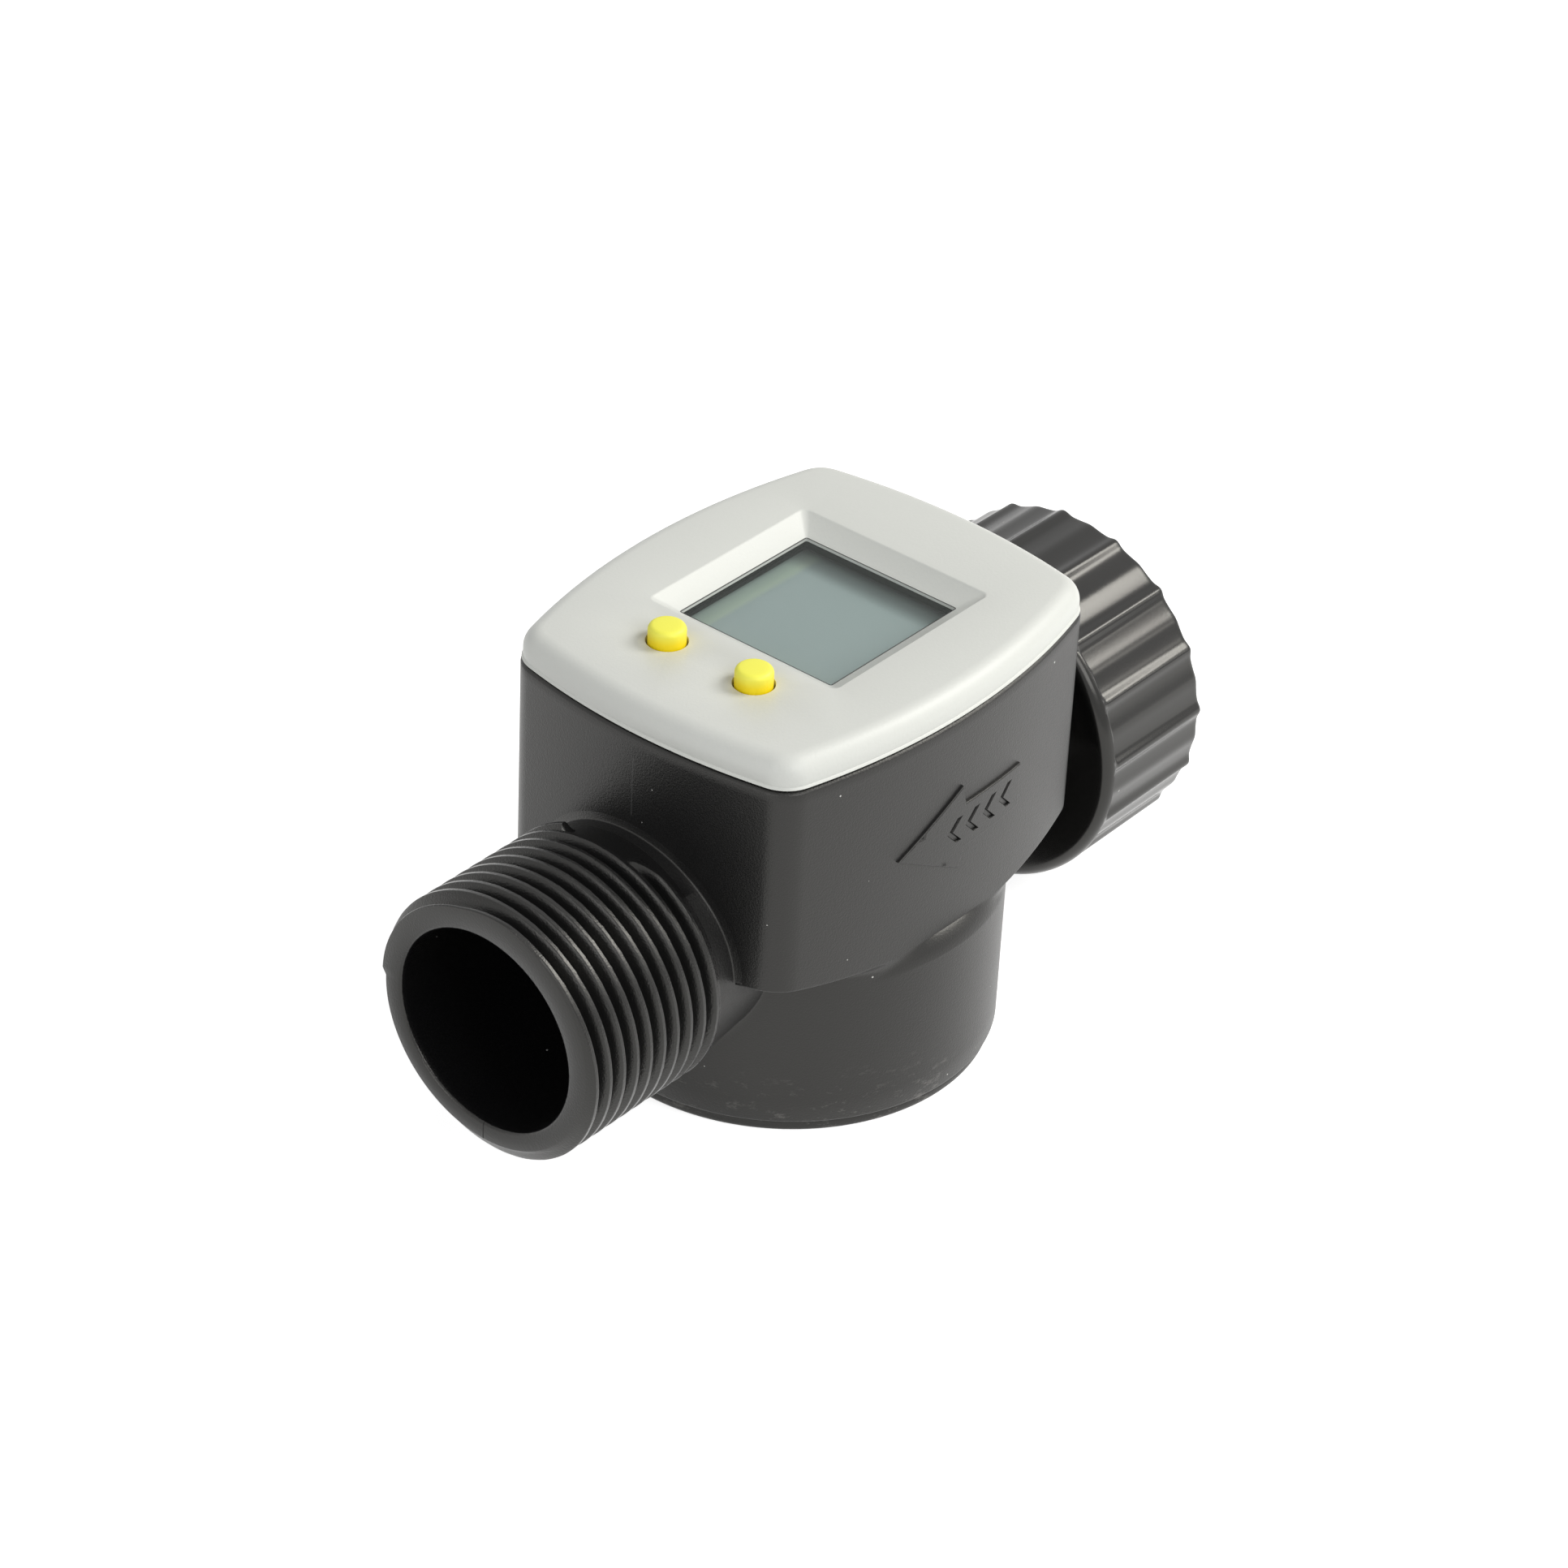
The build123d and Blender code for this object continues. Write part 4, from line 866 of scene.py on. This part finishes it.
def swivel_nut(finish):
    """Ribbed swivel nut with its internal thread."""
    angles = np.linspace(0.0, 360.0, NUT_COLUMNS, endpoint=False)
    around = directions(angles)
    lip = NUT_FRONT + NUT_LIP
    front = [(NUT_RELIEF_R, lip), (NUT_LIP_R + 0.05, lip), (NUT_LIP_R, lip - 0.1)]
    front += [(NUT_LIP_R, NUT_FRONT + 0.2), (NUT_LIP_R + 0.2, NUT_FRONT), (15.6, NUT_FRONT)]
    middle = (NUT_BAND_R - NUT_BAND_ROUND, NUT_FRONT + NUT_BAND_ROUND)
    rows = plain_rings(front + arc(middle, NUT_BAND_ROUND, -90, 0, 10), around)
    shoulder = np.arange(28.62, 29.5, 0.12)
    grip = np.linspace(29.8, 42.3, 12)
    for x in (*shoulder, *grip):
        rows.append(pipe_ring(x, [nut_radius(a, x) for a in angles], around))
    for inset, x in arc((-NUT_EDGE_ROUND, NUT_BACK - NUT_EDGE_ROUND), NUT_EDGE_ROUND, 0, 90, 7):
        rows.append(pipe_ring(x, [nut_radius(a, x) + inset for a in angles], around))
    rows += plain_rings(((15.0, NUT_BACK), (13.9, NUT_BACK), (13.75, NUT_BACK - 0.1)), around)
    for x in np.arange(NUT_BACK - NUT_LEAD, lip + 0.4, -NUT_THREAD_STEP):
        lead = held((NUT_BACK - NUT_LEAD - x) / NUT_LEAD_RUN)
        phases = ((x / PITCH - angles / 360.0) % 1.0) - 0.5
        grooves = np.clip((0.5 - np.abs(phases)) / NUT_FLANK, 0.0, 1.0)
        radii = NUT_THREAD_R + NUT_MOUTH_FLARE * (1 - lead) + NUT_GROOVE * lead * grooves
        rows.append(pipe_ring(x, radii, around))
    rows.append(pipe_ring(lip, NUT_RELIEF_R, around))
    write_mesh("grip_nut", *skinned(rows, -1), finish, ("swivel_nut",), body="nut", slot="black_nut")


def rounded_box(x0, x1, half_y, radius, steps):
    """Anticlockwise points of a rectangle with rounded corners."""
    points = []
    for cx, cy, first in (
        (x1 - radius, half_y - radius, 0), (x0 + radius, half_y - radius, 90),
        (x0 + radius, -half_y + radius, 180), (x1 - radius, -half_y + radius, 270),
    ):
        points.extend(arc((cx, cy), radius, first, first + 90, steps))
    return points


def cover_openings():
    """Rings from the top down of the sloped display opening and of the two button holes."""
    x0, x1, half = SIGHT
    sight = []
    for out, drop in (
        (SIGHT_EDGE, 0.0), (SIGHT_EDGE * 0.5, 0.03), (SIGHT_EDGE * 0.1, 0.11), (-0.12, 0.26),
        (-SIGHT_INSET + 0.05, SIGHT_DEPTH - 0.02), (-SIGHT_INSET, SIGHT_DEPTH + 0.1),
        (-SIGHT_INSET - 0.02, SIGHT_DEPTH + 0.35), (-SIGHT_INSET + 1.4, SIGHT_DEPTH + 0.36),
    ):
        box = rounded_box(x0 - out, x1 + out, half + out, SIGHT_CORNER + out * 0.25, 7)
        sight.append([(x, y, COVER_TOP - drop) for x, y in box])
    openings = [sight]
    for y in (BUTTON_Y, -BUTTON_Y):
        rings = []
        for out, drop in ((0.05, 0.0), (0.015, 0.015), (0.0, 0.05), (0.0, 2.0), (1.2, 2.0)):
            circle = arc((BUTTON_X, y), BUTTON_HOLE_R + out, 0, 360 - 360 / HOLE_STEPS, HOLE_STEPS)
            rings.append([(*point, COVER_TOP - drop) for point in circle])
        openings.append(rings)
    return openings


def top_cover(finish):
    """Cover: rounded edge all round, sloped display opening, holes for the buttons."""
    points, normals = outline()
    count = len(points)
    profile = [
        (4.2, COVER_SKIRT), (1.7, COVER_SKIRT), (1.6, COVER_BASE), (0.35, COVER_BASE),
        (0.12, COVER_BASE + 0.02), (0.08, COVER_BASE + 0.07), (0.11, COVER_BASE + 0.14),
        (0.26, COVER_BASE + 0.3), (COVER_INSET, COVER_BASE + 0.5), (COVER_INSET, COVER_BASE + 0.8),
    ]
    profile += [
        (COVER_INSET + COVER_ROUND - across, z)
        for across, z in arc((0.0, COVER_TOP - COVER_ROUND), COVER_ROUND, 0, 90, 14)
    ]
    verts = [(x, y, z) for inset, z in profile for x, y in points - normals * inset]
    faces = sheet(len(profile), count)
    index = list(range(len(verts) - count, len(verts)))
    border = [verts[i][:2] for i in index]
    flat = list(border)
    edges = closed_edges(count, 0)
    holes = []
    for rings in cover_openings():
        hole = [point[:2] for point in rings[0]]
        holes.append(hole)
        edges.extend(closed_edges(len(hole), len(flat)))
        flat.extend(hole)
        index.extend(range(len(verts), len(verts) + len(hole)))
        faces.extend(sheet(len(rings), len(hole), len(verts)))
        verts.extend(point for ring in rings for point in ring)

    def on_top(spot):
        return inside(spot, border) and not any(inside(spot, hole) for hole in holes)

    _, origins, triangles = filled(flat, edges, 1e-6, on_top)
    faces.extend(tuple(index[origins[i][0]] for i in triangle) for triangle in triangles)
    write_mesh("display_cover", verts, faces, finish, ("top_cover",), sharp=28.0, slot="grey_cover")


def push_button(side, y, finish):
    """One push button with a softly rounded top."""
    foot_r, foot_base, foot_top = BUTTON_FOOT
    profile = [(0.01, foot_base), (foot_r, foot_base), (foot_r, foot_top)]
    profile += [(BUTTON_R, foot_top + 0.06), (BUTTON_R, BUTTON_TOP - BUTTON_ROUND)]
    profile += arc((BUTTON_R - BUTTON_ROUND, BUTTON_TOP - 0.58), BUTTON_ROUND, 8, 84, 9)
    profile += [(0.9, BUTTON_TOP - 0.012), (0.5, BUTTON_TOP - 0.003), (0.01, BUTTON_TOP)]
    points, faces = lathe(profile, 64, (BUTTON_X, y))
    write_mesh(
        f"push_button_{side}", points, faces, finish, (f"button_{side}",),
        body=f"{side}_button", slot="yellow_button",
    )


def hose_washer(finish):
    """Flat washer with slightly rounded edges."""
    bore, rim = WASHER_R
    front, back = WASHER_X
    edge = WASHER_EDGE
    profile = [(bore, front + edge), (bore + edge, front), (rim - edge, front), (rim, front + edge)]
    profile += [(rim, back - edge), (rim - edge, back), (bore + edge, back), (bore, back - edge)]
    around = directions(np.linspace(0.0, 360.0, 96, endpoint=False))
    verts = np.array(plain_rings(profile, around)).reshape(-1, 3)
    faces = [[i % len(verts) for i in face[::-1]] for face in sheet(len(profile) + 1, len(around))]
    write_mesh("flat_washer", verts, faces, finish, ("hose_washer",), sharp=50.0, slot="rubber_seal")


def paint(finish, *nodes):
    """Give carried-over CAD nodes a finish."""
    for name in nodes:
        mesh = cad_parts[name].data
        mesh.materials.clear()
        mesh.materials.append(finish.material)


# Finishes


def case_finish(colour, roughness):
    """Black moulded plastic of the housing: fine grain, dust, low scuffs, parting and split lines."""
    finish = Finish("case plastic", specular_ior_level=0.47, specular_tint=GLOSS_WARM)
    slow = finish.noise(70.0, detail=4.0, roughness=0.6)
    fine = finish.noise(5400.0, detail=2.0, roughness=0.6)
    tone = finish.mix(slow * 0.5 + fine * 0.5, [c * 0.7 for c in colour], [c * 1.4 for c in colour])
    lint = finish.specks(520.0, radius=0.05, share=0.13)
    x, y, z = (finish.along(axis) for axis in "XYZ")
    stretched = finish.node(
        "ShaderNodeVectorMath", {"operation": "MULTIPLY"}, {0: finish.place, 1: SCUFF_STRETCH}
    )
    scuff = finish.noise(420.0, detail=5.0, roughness=0.75, vector=stretched).between(0.56, 0.71)
    rub = scuff * (1.0 - z.between(*SCUFF_HEIGHTS))
    tone = finish.mix(rub * 0.32, tone, SCUFF_COLOUR)
    low, high = PARTING_HEIGHTS
    parting = (abs(y) < PARTING_HALF) * (x < PARTING_X) * (z > low) * (z < high)
    tone = finish.mix(lint * 0.9, finish.mix(parting * 0.5, tone, PARTING_COLOUR), LINT_COLOUR)
    split = (abs(y - SPLIT_Y) < SPLIT_HALF) * (x < SPLIT_X) * (z < SPLIT_TOP)
    gloss = roughness - 0.06 + slow * 0.06 + fine * 0.08 + rub * 0.1 + split * 0.6
    finish.set(base_color=tone, roughness=gloss - (x < SPOUT_FROM_X) * 0.13)
    return finish.bump(fine, 0.00003)


def colour_setting(title, description, default):
    """A colour that the user may change."""
    return FloatVectorProperty(
        name=title, description=description, subtype="COLOR", size=3, min=0, max=1, default=default
    )


def gloss_setting(title, description, default):
    """A roughness that the user may change."""
    return FloatProperty(
        name=title, description=description, subtype="FACTOR", min=0, max=1, default=default
    )


def power_setting(title, description, default):
    """A lamp's power that the user may change."""
    return FloatProperty(name=title, description=description, unit="POWER", min=0, default=default)


class FinishSettings(PropertyGroup):
    """Colours and gloss that a user would change."""

    case_colour: colour_setting("Case", "Colour of the black housing", (0.006, 0.006, 0.0063))
    nut_colour: colour_setting("Nut", "Colour of the swivel nut", (0.006, 0.006, 0.006))
    cover_colour: colour_setting("Cover", "Colour of the grey cover", (0.70, 0.715, 0.68))
    button_colour: colour_setting("Buttons", "Colour of the push buttons", (1.0, 0.97, 0.11))
    display_colour: colour_setting("Display", "Colour of the display glass", (0.32, 0.425, 0.42))
    case_roughness: gloss_setting("Case roughness", "Roughness of the housing", 0.36)
    nut_roughness: gloss_setting("Nut roughness", "Roughness of the nut", 0.21)


class StudioSettings(PropertyGroup):
    """Camera and lamps that a user would change."""

    lens: FloatProperty(
        name="Lens", description="Focal length of the camera in millimetres",
        default=VIEW_LENS, min=20, max=300,
    )
    distance: FloatProperty(
        name="Distance", description="Distance from the camera to its target", unit="LENGTH",
        default=VIEW_DISTANCE * MM, min=0.1, max=5,
    )
    key_power: power_setting("Key lamp", "Power of the lamp at the front right", 2.45)
    front_power: power_setting("Front lamp", "Power of the lamp before the arrow", 1.3)
    low_power: power_setting("Low lamp", "Power of the low lamp at the right", 0.2)
    fill_power: power_setting("Fill lamp", "Power of the low lamp at the outlet's end", 0.7)
    world_strength: FloatProperty(
        name="World", description="Strength of the even light all round", default=0.33, min=0, max=5
    )


# Operators


class METER_OT_housing(Operator):
    """Build the housing: shell, spout with its thread, inlet tail and flow arrow"""

    bl_idname = "meter.housing"
    bl_label = "Housing"

    def execute(self, context):
        settings = context.scene.meter_finish
        finish = case_finish(settings.case_colour, settings.case_roughness)
        housing_shell(finish)
        spout(finish)
        tail(finish)
        flow_arrow(finish)
        base_cap(finish)
        return {"FINISHED"}


class METER_OT_nut(Operator):
    """Build the swivel nut and its washer"""

    bl_idname = "meter.nut"
    bl_label = "Swivel nut"

    def execute(self, context):
        settings = context.scene.meter_finish
        finish = moulded(
            "nut plastic", settings.nut_colour, settings.nut_roughness,
            grain=2600.0, grain_depth=0.000003, spread=0.2, dust=0.05, specular_tint=GLOSS_WARM,
        )
        swivel_nut(finish)
        rubber = moulded("washer rubber", WASHER_COLOUR, roughness=0.6, grain=4200.0, grain_depth=0.00001)
        hose_washer(rubber)
        return {"FINISHED"}


class METER_OT_cover(Operator):
    """Build the cover with its display opening"""

    bl_idname = "meter.cover"
    bl_label = "Cover"

    def execute(self, context):
        colour = context.scene.meter_finish.cover_colour
        finish = moulded("cover plastic", colour, roughness=0.42, grain_depth=0.000014, spread=0.035)
        top_cover(finish)
        return {"FINISHED"}


class METER_OT_buttons(Operator):
    """Build the two push buttons"""

    bl_idname = "meter.buttons"
    bl_label = "Push buttons"

    def execute(self, context):
        colour = context.scene.meter_finish.button_colour
        finish = Finish("button plastic", roughness=0.5)
        # Painted shade: the lower sides of the buttons get a darker, deeper yellow that fades into the
        # full colour of the top
        high = finish.along("Z").between(*BUTTON_PAINTED_SHADE_HEIGHTS)
        painted_shade_tone = [c * share for c, share in zip(colour, BUTTON_PAINTED_SHADE)]
        finish.set(base_color=finish.mix(high, painted_shade_tone, colour))
        finish.bump(finish.noise(2600.0, detail=2.0, roughness=0.6), 0.000006)
        push_button("left", BUTTON_Y, finish)
        push_button("right", -BUTTON_Y, finish)
        return {"FINISHED"}


class METER_OT_display(Operator):
    """Finish the window, the display glass and its frame"""

    bl_idname = "meter.display"
    bl_label = "Display"

    def execute(self, context):
        window = Finish("window", roughness=0.05)
        haze = window.mix(window.noise(160.0, detail=3.0, roughness=0.5), HAZE_DARK, HAZE_PALE)
        x, y = window.along("X"), window.along("Y")
        edge = (abs(x - SIGHT_MIDDLE) > SIGHT_REACH_X).at_least(abs(y) > SIGHT_REACH_Y)
        window.set(base_color=window.mix(edge, haze, WINDOW_EDGE_COLOUR), alpha=edge * 0.75 + 0.12)
        paint(window, "display_window")
        colour = context.scene.meter_finish.display_colour
        glass = Finish("display glass", roughness=0.2)
        darker, lighter = ([c * share for c in colour] for share in (0.97, 1.03))
        tone = glass.mix(glass.noise(60.0, detail=2.0, roughness=0.5), darker, lighter)
        x, y = glass.along("X"), glass.along("Y")
        # Painted reflection: the display glass grows paler towards -X
        pale = x.between(*PAINTED_REFLECTION_X) * 0.3
        line = y.between(*LINE_Y) * (1.0 - y.between(*LINE_FADE_Y) * 0.7)
        # Painted shade: the display glass darkens along its +X edge, and less along its +Y edge
        painted_shade = x.between(*PAINTED_SHADE_X).at_least(y.between(*PAINTED_SHADE_Y) * 0.6)
        tone = glass.mix(line.at_least(pale), tone, PALE_COLOUR)
        glass.set(base_color=glass.mix(painted_shade * 0.85, tone, PAINTED_SHADE_COLOUR))
        paint(glass, "display_glass")
        paint(moulded("frame plastic", (0.05, 0.055, 0.055), roughness=0.5), "display_frame")
        contact = moulded("contact rubber", (0.45, 0.25, 0.24), roughness=0.6)
        paint(contact, "contact_strip_left", "contact_strip_right")
        return {"FINISHED"}


class METER_OT_inner(Operator):
    """Finish the pieces inside: wheel, seals, board and cell"""

    bl_idname = "meter.inner"
    bl_label = "Inner pieces"

    def execute(self, context):
        for name, colour, values, nodes in INNER:
            paint(moulded(name, colour, **values), *nodes)
        return {"FINISHED"}


def area_lamp(name, power, side, place, colour):
    """A soft square lamp aimed at the meter, in metres."""
    data = bpy.data.lights.new(name, "AREA")
    data.energy = power
    data.size = side
    data.color = colour
    lamp = placed(name, data)
    lamp.location = place
    lamp.rotation_euler = (Vector(place) - Vector(LAMP_AIM)).to_track_quat("Z", "Y").to_euler()


def white_floor():
    """Pale floor with the object's shadow, white to the rays that look at the background."""
    mesh = bpy.data.meshes.new("floor")
    corners = [(x * FLOOR_REACH, y * FLOOR_REACH, 0.0) for x, y in ((-1, -1), (1, -1), (1, 1), (-1, 1))]
    mesh.from_pydata(corners, [], [(0, 1, 2, 3)])
    floor = placed("floor", mesh)
    material = bpy.data.materials.new("white floor")
    material.use_nodes = True
    graph = Graph(material.node_tree)
    matt = graph.node("ShaderNodeBsdfDiffuse", None, {"Color": FLOOR_COLOUR})
    lift = graph.node("ShaderNodeEmission", None, {"Color": WHITE, "Strength": graph.seen() * FLOOR_LIFT})
    both = graph.node("ShaderNodeAddShader", None, {0: matt, 1: lift})
    graph.node("ShaderNodeOutputMaterial", None, {"Surface": both})
    mesh.materials.append(material)
    floor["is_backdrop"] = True


def white_world(strength):
    """Even light all round, white to the rays that look at the background."""
    world = bpy.data.worlds.new("studio")
    bpy.context.scene.world = world
    world.use_nodes = True
    graph = Graph(world.node_tree)
    even = graph.node("ShaderNodeBackground", None, {"Color": WHITE, "Strength": strength})
    white = graph.node("ShaderNodeBackground", None, {"Color": WHITE, "Strength": 1.0})
    choose = graph.node("ShaderNodeMixShader", None, {0: graph.seen(), 1: even, 2: white})
    graph.node("ShaderNodeOutputWorld", None, {"Surface": choose})


def set_camera(lens, distance):
    """Camera at the photograph's viewing angle."""
    turn, rise, roll = (math.radians(a) for a in (VIEW_AZIMUTH, VIEW_ELEVATION, VIEW_ROLL))
    back = Vector((math.sin(turn) * math.cos(rise), -math.cos(turn) * math.cos(rise), math.sin(rise)))
    level = Vector((math.cos(turn), math.sin(turn), 0.0))
    upright = back.cross(level)
    right = level * math.cos(roll) + upright * math.sin(roll)
    up = upright * math.cos(roll) - level * math.sin(roll)
    place = Vector(VIEW_TARGET) * MM + back * distance
    data = bpy.data.cameras.new("camera")
    data.lens = lens
    data.sensor_width = VIEW_SENSOR
    data.sensor_fit = "HORIZONTAL"
    data.clip_start, data.clip_end = VIEW_CLIP
    camera = placed("camera", data)
    camera.matrix_world = Matrix((*zip(right, up, back, place), (0.0, 0.0, 0.0, 1.0)))
    bpy.context.scene.camera = camera


class METER_OT_stage(Operator):
    """Set the pale floor, the soft lamps and the camera"""

    bl_idname = "meter.stage"
    bl_label = "Studio"

    def execute(self, context):
        settings = context.scene.meter_studio
        white_floor()
        white_world(settings.world_strength)
        for name, side, place, colour in LAMPS:
            area_lamp(name, getattr(settings, f"{name}_power"), side, place, colour)
        set_camera(settings.lens, settings.distance)
        context.scene.view_settings.view_transform = "Standard"
        return {"FINISHED"}


class METER_PT_panel(Panel):
    """Lists the pieces of the meter and its settings"""

    bl_label = "Water meter"
    bl_idname = "METER_PT_panel"
    bl_space_type = "VIEW_3D"
    bl_region_type = "UI"
    bl_category = "Water meter"

    def draw(self, context):
        layout = self.layout
        for settings in (context.scene.meter_finish, context.scene.meter_studio):
            box = layout.box()
            for name in settings.__annotations__:
                box.prop(settings, name)
        for operator in PIECES:
            layout.operator(operator.bl_idname)


PIECES = (
    METER_OT_housing,
    METER_OT_nut,
    METER_OT_cover,
    METER_OT_buttons,
    METER_OT_display,
    METER_OT_inner,
    METER_OT_stage,
)
CLASSES = (FinishSettings, StudioSettings, *PIECES, METER_PT_panel)


def register():
    """Register the classes and hang the settings on the scene."""
    for cls in CLASSES:
        bpy.utils.register_class(cls)
    bpy.types.Scene.meter_finish = PointerProperty(type=FinishSettings)
    bpy.types.Scene.meter_studio = PointerProperty(type=StudioSettings)


def unregister():
    """Take the settings and the classes away again."""
    del bpy.types.Scene.meter_studio
    del bpy.types.Scene.meter_finish
    for cls in reversed(CLASSES):
        bpy.utils.unregister_class(cls)


def main():
    """Build the meter and its studio, and work out how large it came out."""
    register()
    for piece in PIECES:
        getattr(bpy.ops.meter, piece.bl_idname.split(".")[1])()
    boxes = {"cad": CAD_BOX, "visual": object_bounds()}
    boxes = {name: [list(corner) for corner in box] for name, box in boxes.items()}


if __name__ == "__main__":
    main()
